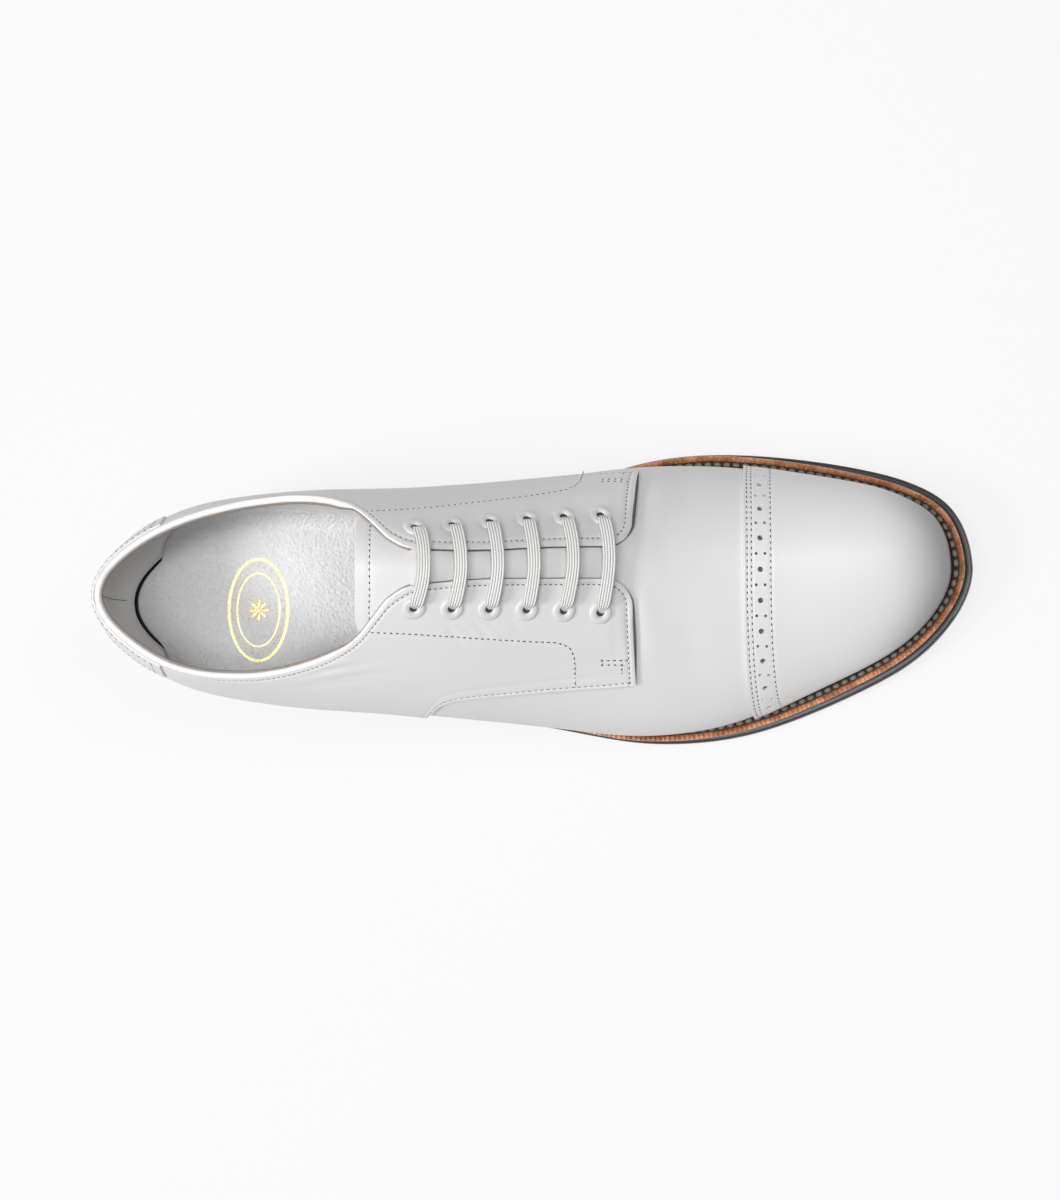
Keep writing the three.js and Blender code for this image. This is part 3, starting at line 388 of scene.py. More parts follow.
def last_point(turn, share):
    """Point on the last: share is 0 at the ridge, 1 at the medial and -1 at the lateral foot."""
    turn, share = as_arrays(turn, share)
    k = (share >= 0).astype(int)
    t = np.clip(turn, 0, 1) * STATIONS
    i = np.minimum(t.astype(int), STATIONS - 1)
    s = np.clip(np.abs(share), 0, 1) * SHARES
    j = np.minimum(s.astype(int), SHARES - 1)
    a = (t - i)[..., None]
    b = (s - j)[..., None]
    near = mix(last_grid[k, i, j], last_grid[k, i, j + 1], b)
    far = mix(last_grid[k, i + 1, j], last_grid[k, i + 1, j + 1], b)
    flat = mix(near, far, a)
    height = flat[..., 1]
    x = x_at(at_of(turn))
    bulge = INSTEP_HEIGHT * shape["bulge"](turn)
    below = np.maximum(0, 1 - height / bulge) ** 2
    above = np.maximum(0, (height - bulge) / (INSTEP_HEIGHT / 2)) ** LEAN_CURVE
    near_heel = np.maximum(0, 1 - (x - HEEL_BACK) / (BALL_WIDTH * HEEL_LEAN_RUN)) ** 2
    near_toe = np.maximum(0, 1 - (TOE - x) / (BALL_WIDTH * TOE_TUCK_RUN)) ** 2
    lean = (HEEL_FOOT_TUCK * below + HEEL_TOP_LEAN * above) * near_heel
    tuck = TOE_FOOT_TUCK * below * near_toe
    return np.stack([x + lean - tuck, flat[..., 0], foot_line(x) + GAP + height], axis=-1)


TURN_STEP = 0.003
SHARE_STEP = 0.012
END_TURN = 0.004


def unit(vectors):
    return vectors / np.maximum(np.linalg.norm(vectors, axis=-1, keepdims=True), 1e-12)


def run_of(path):
    """Distance along a path at each of its points."""
    return np.concatenate([[0], np.cumsum(np.linalg.norm(np.diff(path, axis=0), axis=1))])


def ahead_of(path):
    """Direction of a path at each of its points."""
    return unit(np.gradient(path, axis=0))


def inner_normal(turn, share):
    ahead = last_point(np.minimum(turn + TURN_STEP, 1), share)
    behind = last_point(np.maximum(turn - TURN_STEP, 0), share)
    lower = last_point(turn, np.minimum(share + SHARE_STEP, 1))
    upper = last_point(turn, np.maximum(share - SHARE_STEP, -1))
    return unit(np.cross(ahead - behind, lower - upper))


def foot_share(turn, share):
    """0 at the foot line, 1 from the bulge up."""
    bulge = INSTEP_HEIGHT * shape["bulge"](turn)
    return np.clip((1 - np.abs(share)) * girth_at(turn, side_of(share)) / bulge, 0, 1)


def normal_at(turn, share):
    """Outward normal, which turns level at the foot line."""
    turn, share = as_arrays(turn, share)
    near = np.clip(turn, END_TURN, 1 - END_TURN)
    normal = inner_normal(near, share)
    both = unit(normal + inner_normal(near, -share))
    normal = np.where((near != turn)[..., None], both, normal)
    normal[..., 2] *= foot_share(turn, share)
    return unit(normal)


def skin(turn, share, offset):
    """Point of the upper: the last's skin moved outward, with its foot kept on the welt."""
    turn, share, offset = as_arrays(turn, share, offset)
    point = last_point(turn, share)
    start = foot_line(point[..., 0])
    point = point + normal_at(turn, share) * offset[..., None]
    point[..., 2] += (foot_line(point[..., 0]) - start) * (1 - foot_share(turn, share))
    return point


# Facing and tongue clearances, as in the part.
TONGUE_PLAY = 2 * GAP
TONGUE_CLEAR = 2.0
TONGUE_RAMP = 9.0
TONGUE_END = 0.007
TONGUE_SPREAD = TONGUE_HALF_WIDTH + TONGUE_TAPER + TONGUE_CLEAR
TONGUE_FADE = 0.05
TONGUE_FADE_END = 0.01
VAMP_UNDER_BACK_AT = 0.3
VAMP_UNDER_FRONT_AT = 0.5


def tongue_lift(turn, share):
    at = at_of(turn)
    from_ridge = np.abs(share) * girth_at(turn, side_of(share))
    across = 1 - smooth(from_ridge, TONGUE_SPREAD + GAP, TONGUE_SPREAD + TONGUE_RAMP)
    full = TONGUE_TOP_AT - TONGUE_FADE_END
    start = smooth(at, full - TONGUE_FADE, full)
    front = TONGUE_JOIN_AT + TONGUE_END
    return across * start * (1 - smooth(at, front, front + 2 * TONGUE_END))


def quarter_inside(turn, share):
    return mix(LINING_STEP, TONGUE_THICKNESS + TONGUE_PLAY, tongue_lift(turn, share))


def quarter_outside(turn, share):
    over_vamp = FACING_STEP * smooth(at_of(turn), VAMP_UNDER_BACK_AT, VAMP_UNDER_FRONT_AT)
    rise = TONGUE_THICKNESS + TONGUE_PLAY - WALL
    return WALL + QUARTER_STEP + over_vamp + max(rise, GAP) * tongue_lift(turn, share)


class Wire:
    """A socket of one material's nodes, with the usual signs for its sums."""

    def __init__(self, shader, socket):
        self.shader = shader
        self.socket = socket

    def sum(self, operation, *values):
        return self.shader.node("Math", {"operation": operation}, *values)

    def __add__(self, other):
        return self.sum("ADD", self, other)

    def __sub__(self, other):
        return self.sum("SUBTRACT", self, other)

    def __mul__(self, other):
        return self.sum("MULTIPLY", self, other)

    def __truediv__(self, other):
        return self.sum("DIVIDE", self, other)

    def __rsub__(self, other):
        return self.sum("SUBTRACT", other, self)

    def __rtruediv__(self, other):
        return self.sum("DIVIDE", other, self)

    def __pow__(self, other):
        return self.sum("POWER", self, other)

    def __neg__(self):
        return self.sum("MULTIPLY", self, -1)

    __radd__ = __add__
    __rmul__ = __mul__

    def sine(self):
        return self.sum("SINE", self)

    def size(self):
        return self.sum("ABSOLUTE", self)

    def floor(self):
        return self.sum("FLOOR", self)

    def above(self, least):
        return self.sum("MAXIMUM", self, least)

    def step(self, start, end):
        """0 before start and 1 after end, eased between them."""
        settings = {"interpolation_type": "SMOOTHSTEP"}
        return self.shader.node("MapRange", settings, self, start, end, 0.0, 1.0, out="Result")


class Shader:
    """One material, built node by node."""

    def __init__(self, name):
        self.material = bpy.data.materials.new(name)
        self.material.use_nodes = True
        self.tree = self.material.node_tree
        self.surface = self.tree.nodes["Principled BSDF"]

    def node(self, kind, settings, *values, out=0, **named):
        node = self.tree.nodes.new("ShaderNode" + kind)
        for key, value in settings.items():
            setattr(node, key, value)
        inputs = [(node.inputs[i], value) for i, value in enumerate(values)]
        inputs += [(node.inputs[key.replace("_", " ")], value) for key, value in named.items()]
        for socket, value in inputs:
            self.feed(socket, value)
        return Wire(self, node.outputs[out])

    def feed(self, socket, value):
        if isinstance(value, Wire):
            self.tree.links.new(value.socket, socket)
        elif value is not None:
            socket.default_value = value

    def place(self):
        return self.node("TexCoord", {}, out="Object")

    def noise(self, scale, detail=2.0, rough=0.5, where=None):
        where = where or self.place()
        return self.node("TexNoise", {}, Vector=where, Scale=scale, Detail=detail, Roughness=rough)

    def cells(self, scale, feature="F1", where=None):
        where = where or self.place()
        return self.node("TexVoronoi", {"feature": feature}, Vector=where, Scale=scale)

    def blend(self, share, first, second):
        node = self.tree.nodes.new("ShaderNodeMix")
        node.data_type = "RGBA"
        self.feed(node.inputs[0], share)
        self.feed(node.inputs[6], first)
        self.feed(node.inputs[7], second)
        return Wire(self, node.outputs[2])

    def bump(self, height, depth, strength=1.0, normal=None):
        """Normal bumped by a height of 0 to 1 that stands for a depth in metres."""
        return self.node("Bump", {}, Strength=strength, Distance=depth, Height=height, Normal=normal)

    def finish(self, **sockets):
        for key, value in sockets.items():
            self.feed(self.surface.inputs[key.replace("_", " ")], value)
        return self.material


def rgb(red, green, blue):
    return (red, green, blue, 1.0)


def grey(value, warm=0.0):
    return rgb(value * (1 + warm), value, value * (1 - warm))


def calf_leather(name="calf_leather", tone=0.72, painted_toe_shade=0.0, coat=0.12):
    """Smooth finished calf, pale grey-white, with fine pores and a soft shine.

    Its toe-shade argument darkens it low down at the toe tip: painted shade where the light falls off
    there.
    """
    s = Shader(name)
    cloud = s.noise(22.0, 3.0, 0.6)
    pores = s.cells(1500.0)
    grain = s.noise(700.0, 4.0, 0.6)
    pull = s.noise(90.0, 2.0, 0.5)
    colour = s.blend(cloud.step(0.3, 0.7), grey(tone * 0.985, -0.004), grey(tone * 1.015, 0.0))
    if painted_toe_shade:
        along = s.node("SeparateXYZ", {}, s.place(), out="X")
        height_up = s.node("SeparateXYZ", {}, s.place(), out="Z")
        spring = ((along - 0.0585).above(0.0) / 0.0935) ** SPRING_CURVE * (TOE_SPRING * MM)
        # Painted shade: the low front of the toe tip is darkened as if the light fell off there.
        low = (1 - (height_up - spring).step(0.012, 0.038)) * along.step(0.112, 0.141)
        colour = s.blend(low * painted_toe_shade, colour, grey(tone * 0.22))
    height = grain * 0.6 + pores * 0.4
    normal = s.bump(height, 0.00006, 0.5, s.bump(pull, 0.0005, 0.2))
    rough = 0.40 + 0.10 * grain + 0.06 * cloud
    return s.finish(
        Base_Color=colour, Roughness=rough, Normal=normal, Coat_Weight=coat, Coat_Roughness=0.33,
        Specular_IOR_Level=0.45,
    )


def mottled(name, noise, dark, light, rough, spread=0.0, relief=None, coat=(0.0, 0.03)):
    """A plain finish: one noise mottles its colour, and its roughness and relief where given."""
    s = Shader(name)
    fleck = s.noise(*noise)
    return s.finish(
        Base_Color=s.blend(fleck, dark, light), Roughness=rough + spread * fleck if spread else rough,
        Normal=s.bump(fleck, *relief) if relief else None, Coat_Weight=coat[0], Coat_Roughness=coat[1],
    )


def lining_leather():
    """Grey lining leather with a light nap."""
    s = Shader("lining_leather")
    cloud = s.noise(30.0, 3.0, 0.6)
    grain = s.noise(900.0, 4.0, 0.65)
    colour = s.blend(cloud, grey(0.68, 0.012), grey(0.76, 0.012))
    return s.finish(Base_Color=colour, Roughness=0.62 + 0.12 * grain, Normal=s.bump(grain, 0.0001, 0.5))


def sock_leather():
    """Grained grey sock leather, embossed with small creased pebbles, and darkened at the heel end by
    painted shade.
    """
    s = Shader("sock_leather")
    drift = s.noise(240.0, 2.0, 0.5)
    pebbles = s.cells(1050.0, "SMOOTH_F1")
    fine = s.noise(1600.0, 3.0, 0.6)
    cloud = s.noise(26.0, 2.0, 0.5)
    height = pebbles * 0.7 + drift * 0.5 + fine * 0.25
    along = s.node("SeparateXYZ", {}, s.place(), out="X")
    # Darker towards the heel end: painted shade standing in for the heel counter's shadow, with the cloud
    # mottling the tone.
    tone = along.step(-0.150, -0.100) * 0.8 + cloud * 0.2
    colour = s.blend(tone, grey(0.46, -0.004), grey(0.76, -0.004))
    return s.finish(
        Base_Color=colour, Roughness=0.40 + 0.2 * fine, Normal=s.bump(height, 0.0007, 1.0),
        Coat_Weight=0.1, Coat_Roughness=0.4,
    )


def folded_edge_lit():
    """Folded leather edge, nearly white: lighter than the calf as painted highlight along the roll."""
    s = Shader("folded_edge_lit")
    grain = s.noise(900.0, 3.0, 0.6)
    cloud = s.noise(60.0, 2.0, 0.5)
    colour = s.blend(cloud, grey(0.84), grey(0.9))
    return s.finish(Base_Color=colour, Roughness=0.38 + 0.1 * grain, Normal=s.bump(grain, 0.00008, 0.4))


def welt_leather():
    """Tan waxed welt, with pale flecks painted in as highlights of its sheen."""
    s = Shader("welt_leather")
    cloud = s.noise(160.0, 3.0, 0.6)
    fibre_and_glints = s.noise(1400.0, 3.0, 0.6)
    colour = s.blend(cloud.step(0.35, 0.7), rgb(0.40, 0.125, 0.04), rgb(0.74, 0.33, 0.15))
    # Painted highlight: pale flecks stand in for the glints of the waxed sheen.
    colour = s.blend(fibre_and_glints.step(0.55, 0.72) * 0.75, colour, rgb(0.90, 0.64, 0.48))
    return s.finish(
        Base_Color=colour, Roughness=0.26 + 0.2 * fibre_and_glints, Normal=s.bump(fibre_and_glints, 0.0003, 0.8),
        Coat_Weight=0.7, Coat_Roughness=0.16,
    )


def black_edge():
    """Inked and burnished sole edge."""
    s = Shader("black_edge")
    cloud = s.noise(90.0, 3.0, 0.6)
    line = s.noise(900.0, 2.0, 0.5)
    colour = s.blend(cloud, rgb(0.030, 0.030, 0.032), rgb(0.055, 0.055, 0.058))
    return s.finish(
        Base_Color=colour, Roughness=0.34 + 0.14 * line, Normal=s.bump(line, 0.0001, 0.4),
        Coat_Weight=0.25, Coat_Roughness=0.3,
    )


# Pitch of the tread's fine ribs, in metres.
TREAD_PITCH = 0.004


def sole_bottom():
    """Black tread, ribbed finely across and scuffed matt."""
    s = Shader("sole_bottom")
    cloud = s.noise(60.0, 4.0, 0.65)
    along = s.node("SeparateXYZ", {}, s.place(), out="X")
    rib = (along * (2 * math.pi / TREAD_PITCH)).sine().step(-0.4, 0.4)
    colour = s.blend(cloud, rgb(0.028, 0.027, 0.027), rgb(0.06, 0.058, 0.057))
    normal = s.bump(rib + 0.3 * cloud, 0.0005, 0.8)
    return s.finish(Base_Color=colour, Roughness=0.6 + 0.15 * cloud, Normal=normal)


def woven_lace():
    """Flat cotton braid: its UV map runs along it in picks, and across it from 0 to 1."""
    s = Shader("woven_lace")
    weave = s.node("UVMap", {"uv_map": "weave"})
    along = s.node("SeparateXYZ", {}, weave, out="X")
    across = s.node("SeparateXYZ", {}, weave, out="Y")
    cord = (across * (LACE_RIBS * math.pi)).sine().size()
    shift = (across * LACE_RIBS).floor() * 0.5
    pick = ((along + shift) * math.pi).sine().size()
    height = cord ** 0.6 * 0.5 + pick ** 0.7 * cord * 0.5
    fuzz = s.noise(3000.0, 2.0, 0.5)
    # Darker in the grooves between cords and picks: painted shade in the weave's hollows.
    colour = s.blend(height.step(0.08, 0.7), rgb(0.36, 0.345, 0.33), rgb(0.82, 0.815, 0.80))
    normal = s.bump(height + 0.15 * fuzz, 0.0004, 0.9)
    return s.finish(Base_Color=colour, Roughness=0.72 + 0.1 * fuzz, Normal=normal)


def gold_foil():
    """Worn gold foil stamp."""
    s = Shader("gold_foil")
    wear = s.noise(1500.0, 3.0, 0.7)
    colour = s.blend(wear.step(0.35, 0.65), rgb(0.50, 0.30, 0.06), rgb(0.98, 0.80, 0.42))
    return s.finish(Base_Color=colour, Roughness=0.30 + 0.2 * wear, Metallic=0.7)


def studio_floor():
    """Pale studio sweep, mostly lit from within so that shadows stay faint."""
    s = Shader("studio_floor")
    cloud = s.noise(3.0, 1.0, 0.5)
    colour = s.blend(cloud, grey(0.11), grey(0.115))
    return s.finish(
        Base_Color=colour, Roughness=0.9, Specular_IOR_Level=0.0,
        Emission_Color=rgb(1.0, 1.0, 1.0), Emission_Strength=0.83,
    )


finish = {
    "calf": calf_leather(),
    # The toe cap's calf, with painted shade low on its toe tip.
    "shaded_cap_calf": calf_leather("shaded_cap_calf", 0.735, 0.85, 0.4),
    # A lighter copy of the calf for the tongue: painted light that offsets the shade between the facings.
    "lit_tongue_calf": calf_leather("lit_tongue_calf", 0.79),
    "lining": lining_leather(),
    "sock": sock_leather(),
    "folded": folded_edge_lit(),
    # Cut edge of the lining, taupe fibres.
    "raw": mottled("raw_edge", (2200.0, 3.0, 0.7), rgb(0.19, 0.15, 0.13), rgb(0.42, 0.36, 0.32),
                   0.85, relief=(0.0003, 0.8)),
    # Waxed pale sewing thread.
    "thread": mottled("sewing_thread", (2600.0, 2.0, 0.5), grey(0.62), grey(0.8),
                      0.5, relief=(0.0001, 0.5)),
    # Near-black for needle slits and the eyelets' bores: painted shade standing in for the dark inside each
    # hole.
    "hole": mottled("painted_hole_shade", (700.0, 1.0, 0.5), rgb(0.030, 0.027, 0.026),
                    rgb(0.075, 0.068, 0.064), 0.9),
    # Dark sheet under the punches: painted shade seen in the holes.
    "backing": mottled("punch_shade_sheet", (1500.0, 2.0, 0.6), grey(0.09, 0.02), grey(0.17, 0.02), 0.9),
    # Cut and inked edge of the quarters, seen as a thin dark line; its dark tone also serves as painted
    # shadow under the raised facing edges.
    "cut": mottled("cut_edge_and_shadow", (1800.0, 2.0, 0.6), rgb(0.060, 0.052, 0.048), rgb(0.17, 0.15, 0.135), 0.85),
    # White enamelled metal of the eyelets.
    "enamel": mottled("enamel", (400.0, 2.0, 0.5), grey(0.64), grey(0.72), 0.34, 0.1, coat=(0.2, 0.2)),
    "welt": welt_leather(),
    "edge": black_edge(),
    "rubber": mottled("black_rubber", (1800.0, 3.0, 0.6), rgb(0.018, 0.018, 0.019), rgb(0.03, 0.03, 0.031),
                      0.62, 0.1, (0.00012, 0.5)),
    "bottom": sole_bottom(),
    # Blackened channel of the welt.
    "channel": mottled("welt_channel", (900.0, 3.0, 0.6), rgb(0.014, 0.012, 0.011), rgb(0.05, 0.035, 0.028),
                       0.55, 0.2, (0.0002, 0.5)),
    # Thick waxed welt thread, grey-olive on black.
    "welt_thread": mottled("welt_thread", (1200.0, 3.0, 0.6), rgb(0.13, 0.12, 0.10), rgb(0.36, 0.34, 0.28),
                           0.5, relief=(0.0002, 0.6)),
    "lace": woven_lace(),
    "gold": gold_foil(),
}


def to_part(points):
    """Millimetres on the last become metres in the part's frame."""
    return (np.asarray(points, float) - (ORIGIN_X, ORIGIN_Y, 0.0)) * MM


def clear_selection():
    bpy.ops.object.select_all(action="DESELECT")


def join(pieces):
    """The pieces as one object, which takes the name and place of the first."""
    clear_selection()
    for piece in pieces:
        piece.select_set(True)
    bpy.context.view_layer.objects.active = pieces[0]
    bpy.ops.object.join()
    return pieces[0]


def make_active(piece):
    clear_selection()
    piece.select_set(True)
    bpy.context.view_layer.objects.active = piece


def edit(piece, *operations):
    """Runs edit operators on all of a piece's mesh."""
    make_active(piece)
    bpy.ops.object.mode_set(mode="EDIT")
    bpy.ops.mesh.select_all(action="SELECT")
    for operator, settings in operations:
        operator(**settings)
    bpy.ops.object.mode_set(mode="OBJECT")


def modify(piece, kind, **settings):
    """Adds a modifier and applies it."""
    make_active(piece)
    modifier = piece.modifiers.new(kind.lower(), kind)
    for key, value in settings.items():
        setattr(modifier, key, value)
    bpy.ops.object.modifier_apply(modifier=modifier.name)


def shade(piece, angle=35.0):
    make_active(piece)
    bpy.ops.object.shade_smooth_by_angle(angle=math.radians(angle))


def dress(piece, name, material, nodes=()):
    """Names a piece, gives it its finish and ties it to the shoe's one body."""
    piece.name = name
    piece.data.name = name
    piece.data.materials.clear()
    piece.data.materials.append(finish[material])
    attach(piece, "root")
    if nodes:
        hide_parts(*nodes)
    return piece


def set_points(piece, points):
    piece.data.vertices.foreach_set("co", to_part(points).reshape(-1))
    piece.data.update()


def blank_grid(rows, columns):
    """A primitive grid of rows by columns points, columns running first."""
    clear_selection()
    bpy.ops.mesh.primitive_grid_add(x_subdivisions=columns - 1, y_subdivisions=rows - 1, size=1)
    return bpy.context.object


def lay(points, outward, weld=0.0, thickness=0.0, bevel=0.0, segments=2):
    """A grid of leather laid on points of rows by columns, with its wall and rounded rim.

    outward is the direction, at the grid's middle, that its face looks to.
    """
    rows, columns = points.shape[:2]
    piece = blank_grid(rows, columns)
    set_points(piece, points)
    low, left = (rows - 1) // 2, (columns - 1) // 2
    along = points[low, left + 1] - points[low, left]
    across = points[low + 1, left] - points[low, left]
    if np.dot(np.cross(along, across), outward) < 0:
        edit(piece, (bpy.ops.mesh.flip_normals, {}))
    if weld:
        edit(piece, (bpy.ops.mesh.remove_doubles, {"threshold": weld * MM}))
    if thickness:
        modify(piece, "SOLIDIFY", thickness=thickness * MM, offset=-1.0, use_even_offset=True)
    if bevel:
        modify(
            piece, "BEVEL", width=bevel * MM, segments=segments, limit_method="ANGLE",
            angle_limit=math.radians(50), use_clamp_overlap=True,
        )
    shade(piece)
    return piece


def lay_on_skin(turn, share, offset, **settings):
    points = skin(turn, share, offset)
    rows, columns = points.shape[:2]
    outward = normal_at(turn, share)[rows // 2, columns // 2]
    return lay(points, outward, **settings)


def crowd(total, first, growth, coarse):
    """Distances from 0 to total that start fine, grow, and go on at a coarse step."""
    marks = [0.0]
    step = first
    while marks[-1] + step < total:
        marks.append(marks[-1] + step)
        step = min(step * growth, coarse)
    marks[-1] = total if total - marks[-1] < step / 2 else marks[-1]
    if marks[-1] < total:
        marks.append(total)
    return np.array(marks)


# Main creases of the vamp and quarters: soft troughs, each with its place along the last, its
# place from the ridge in millimetres (medial is plus), heading, half length, half width, depth.
CREASES = [
    (0.642, 17.0, 84.0, 17.0, 3.4, 1.00),
    (0.640, -20.0, 96.0, 16.0, 2.9, 0.70),
    (0.638, 1.0, 90.0, 9.0, 4.0, 0.50),
    (0.438, -22.5, 118.0, 6.5, 1.0, 0.36),
    (0.447, -20.0, 140.0, 5.5, 0.9, 0.32),
    (0.470, -21.5, 125.0, 6.5, 1.0, 0.38),
    (0.480, -19.0, 144.0, 5.0, 0.9, 0.28),
    (0.506, -19.5, 116.0, 4.5, 1.0, 0.22),
    (0.530, 21.0, 84.0, 6.0, 1.6, 0.22),
    (0.571, 22.5, 80.0, 6.0, 1.6, 0.26),
    (0.300, -40.0, 14.0, 15.0, 1.4, 0.32),
    (0.322, -44.5, 12.0, 18.0, 1.5, 0.36),
    (0.300, -49.0, 8.0, 16.0, 1.6, 0.28),
    (0.700, 30.0, 85.0, 16.0, 5.0, 0.26),
    (0.705, -28.0, 98.0, 18.0, 5.0, 0.24),
    (0.300, 46.0, 165.0, 18.0, 2.4, 0.20),
]


def creased(turn, share):
    """Depth of the creases at places on the skin, in millimetres."""
    x = LAST_LENGTH * at_of(turn)
    y = np.asarray(share) * girth_at(turn, side_of(share))
    depth = np.zeros(np.broadcast(x, y).shape)
    for at, across, heading, length, width, deep in CREASES:
        dx = x - LAST_LENGTH * at
        dy = y - across
        c, s = math.cos(math.radians(heading)), math.sin(math.radians(heading))
        along = (dx * c + dy * s) / length
        beside = (dy * c - dx * s) / width
        trough = bell(beside, 0, 1) - 0.3 * bell(beside, 1.9, 1) - 0.2 * bell(beside, -1.9, 1)
        depth += deep * trough * np.exp(-(along**2) * 1.6)
    return depth


# Vamp, from under the quarters to the toe.
VAMP_REAR_BACK = 0.03


def cap_rear(share):
    return CAP_AT - CAP_SWEEP * np.where(share > 0, share, 0) ** 2


def vamp():
    half = crowd(1.0, 0.011, 1.0, 0.011)
    share = np.concatenate([-half[::-1], half[1:]])
    rear = vamp_rear(np.abs(share)) - VAMP_REAR_BACK * (1 - smooth(np.abs(share), 0.2, 0.32))
    cap = cap_rear(share)
    steps = np.linspace(0, 1, 90)
    front = 1 - (1 - np.linspace(0, 1, 46)[1:]) ** 1.15
    back_turn = mix(turn_of(rear)[None, :], turn_of(cap)[None, :], steps[:, None])
    front_turn = mix(turn_of(cap)[None, :], 1.0, front[:, None])
    turn = np.vstack([back_turn, front_turn])
    share = np.broadcast_to(share, turn.shape)
    offset = WALL - creased(turn, share)
    piece = lay_on_skin(turn, share, offset, weld=0.02, thickness=1.0)
    return dress(piece, "vamp_leather", "calf", ["upper"])


# Edge of a facing or quarter: a rounded fold that swells up to its row of stitches.
COLLAR_STITCH = 2.5
LATERAL_STITCH = 1.9
MEDIAL_STITCH = 2.6
FURROW_WIDTH = 0.55
FURROW_DEPTH = 0.36
SWELL = 0.14


def stitch_inset(turn, side):
    """Distance of the sewn row from a quarter's edge, along its collar and round its facing."""
    facing = np.where(np.asarray(side) > 0, MEDIAL_STITCH, LATERAL_STITCH)
    return mix(COLLAR_STITCH, facing, smooth(at_of(turn), 0.375, 0.415))


def edge_relief(distance, inset):
    """Height in millimetres at a distance from a sewn edge."""
    swell = SWELL * bell(distance, inset * 0.5, inset * 0.35)
    furrow = FURROW_DEPTH * bell(distance, inset, FURROW_WIDTH)
    return swell - furrow


LOWER_STITCH = 1.1
LOWER_SECOND_STITCH = 4.9
QUARTER_THICKNESS = 1.5


def quarter_rows():
    """Arc angles near the top edge, then shares of the width, then distances from the lower edge."""
    arc = FACING_CORNER * (1 - np.cos(np.linspace(0, math.pi / 2, 22)))
    low = crowd(7.0, 0.3, 1.12, 0.8)
    return arc, np.linspace(0, 1, 44)[1:-1], low[::-1]


def facing_back(from_top):
    into = np.clip(FACING_CORNER - from_top, 0, FACING_CORNER)
    return FACING_CORNER - np.sqrt(np.maximum(FACING_CORNER**2 - into**2, 0))


CORNER_BLEND = 34.0


def quarter_grid(side_sign):
    """Turn and share of each point of one quarter, with its distances from the edges."""
    behind = crowd(LAST_LENGTH * FACING_FRONT_AT, 0.3, 1.07, 1.25)
    arc, middle, low = quarter_rows()
    rows = len(arc) + len(middle) + len(low)
    turn = np.empty((rows, len(behind)))
    share = np.empty_like(turn)
    from_top = np.empty_like(turn)
    from_low = np.empty_like(turn)
    from_front = np.empty_like(turn)
    blend = np.maximum(0, 1 - behind / CORNER_BLEND) ** 2
    for r in range(rows):
        bent = behind.copy()
        if r < len(arc):
            bent = behind + facing_back(arc[r]) * blend
        at = np.clip(FACING_FRONT_AT - bent / LAST_LENGTH, 0, 1)
        t = turn_of(at)
        girth = girth_at(t, side_sign)
        top = by_side(top_line, at, side_sign) * girth
        bottom = by_side(lower_line, at, side_sign) * girth
        start = arc[-1]
        end = low[0]
        if r < len(arc):
            down = top + arc[r]
        elif r < len(arc) + len(middle):
            down = mix(top + start, bottom - end, middle[r - len(arc)])
        else:
            down = bottom - low[r - len(arc) - len(middle)]
        turn[r] = t
        share[r] = side_sign * down / girth
        from_top[r] = down - top
        from_low[r] = bottom - down
        from_front[r] = LAST_LENGTH * (FACING_FRONT_AT - at)
    return turn, share, from_top, from_low, from_front


def edge_distance(from_top, from_front):
    corner = (from_top < FACING_CORNER) & (from_front < FACING_CORNER)
    round_edge = FACING_CORNER - np.hypot(FACING_CORNER - from_top, FACING_CORNER - from_front)
    return np.where(corner, round_edge, np.minimum(from_top, from_front))


def quarter_offset(turn, share, from_top, from_low, from_front):
    """Height of the quarter's outer face, with its swells, furrows and creases."""
    at = at_of(turn)
    near = edge_distance(from_top, from_front)
    over_vamp = smooth(at, LOWER_LINE["at"][0], LOWER_LINE["at"][0] + 0.02)
    relief = edge_relief(near, stitch_inset(turn, side_of(share)))
    low_rows = over_vamp * FURROW_DEPTH * 0.8 * smooth(from_front, LATERAL_STITCH, LATERAL_STITCH + 1.5)
    relief = relief - low_rows * bell(from_low, LOWER_STITCH, 0.4)
    relief = relief - low_rows * bell(from_low, LOWER_SECOND_STITCH, 0.45)
    return quarter_outside(turn, share) + relief - creased(turn, share)


def quarter_face(turn, share):
    """Height of a quarter's outer face at places on the skin."""
    side = side_of(share)
    at = at_of(turn)
    girth = girth_at(turn, side)
    down = np.abs(share) * girth
    from_top = down - by_side(top_line, at, side) * girth
    from_low = by_side(lower_line, at, side) * girth - down
    return quarter_offset(turn, share, from_top, from_low, LAST_LENGTH * (FACING_FRONT_AT - at))


def quarters():
    """Both quarters in one band round the heel, with the back seam's furrow."""
    medial = quarter_grid(1)
    lateral = quarter_grid(-1)
    both = [np.hstack([l, m[:, ::-1][:, 1:]]) for l, m in zip(lateral, medial)]
    turn, share = both[0], both[1]
    offset = quarter_offset(*both)
    behind_heel = LAST_LENGTH * at_of(turn)
    offset = offset - 0.35 * bell(np.abs(share) * 0 + behind_heel * 4, 0, 0.7)
    piece = lay_on_skin(turn, share, offset, thickness=QUARTER_THICKNESS, bevel=0.45, segments=3)
    return dress(piece, "quarters", "calf", ["upper"])


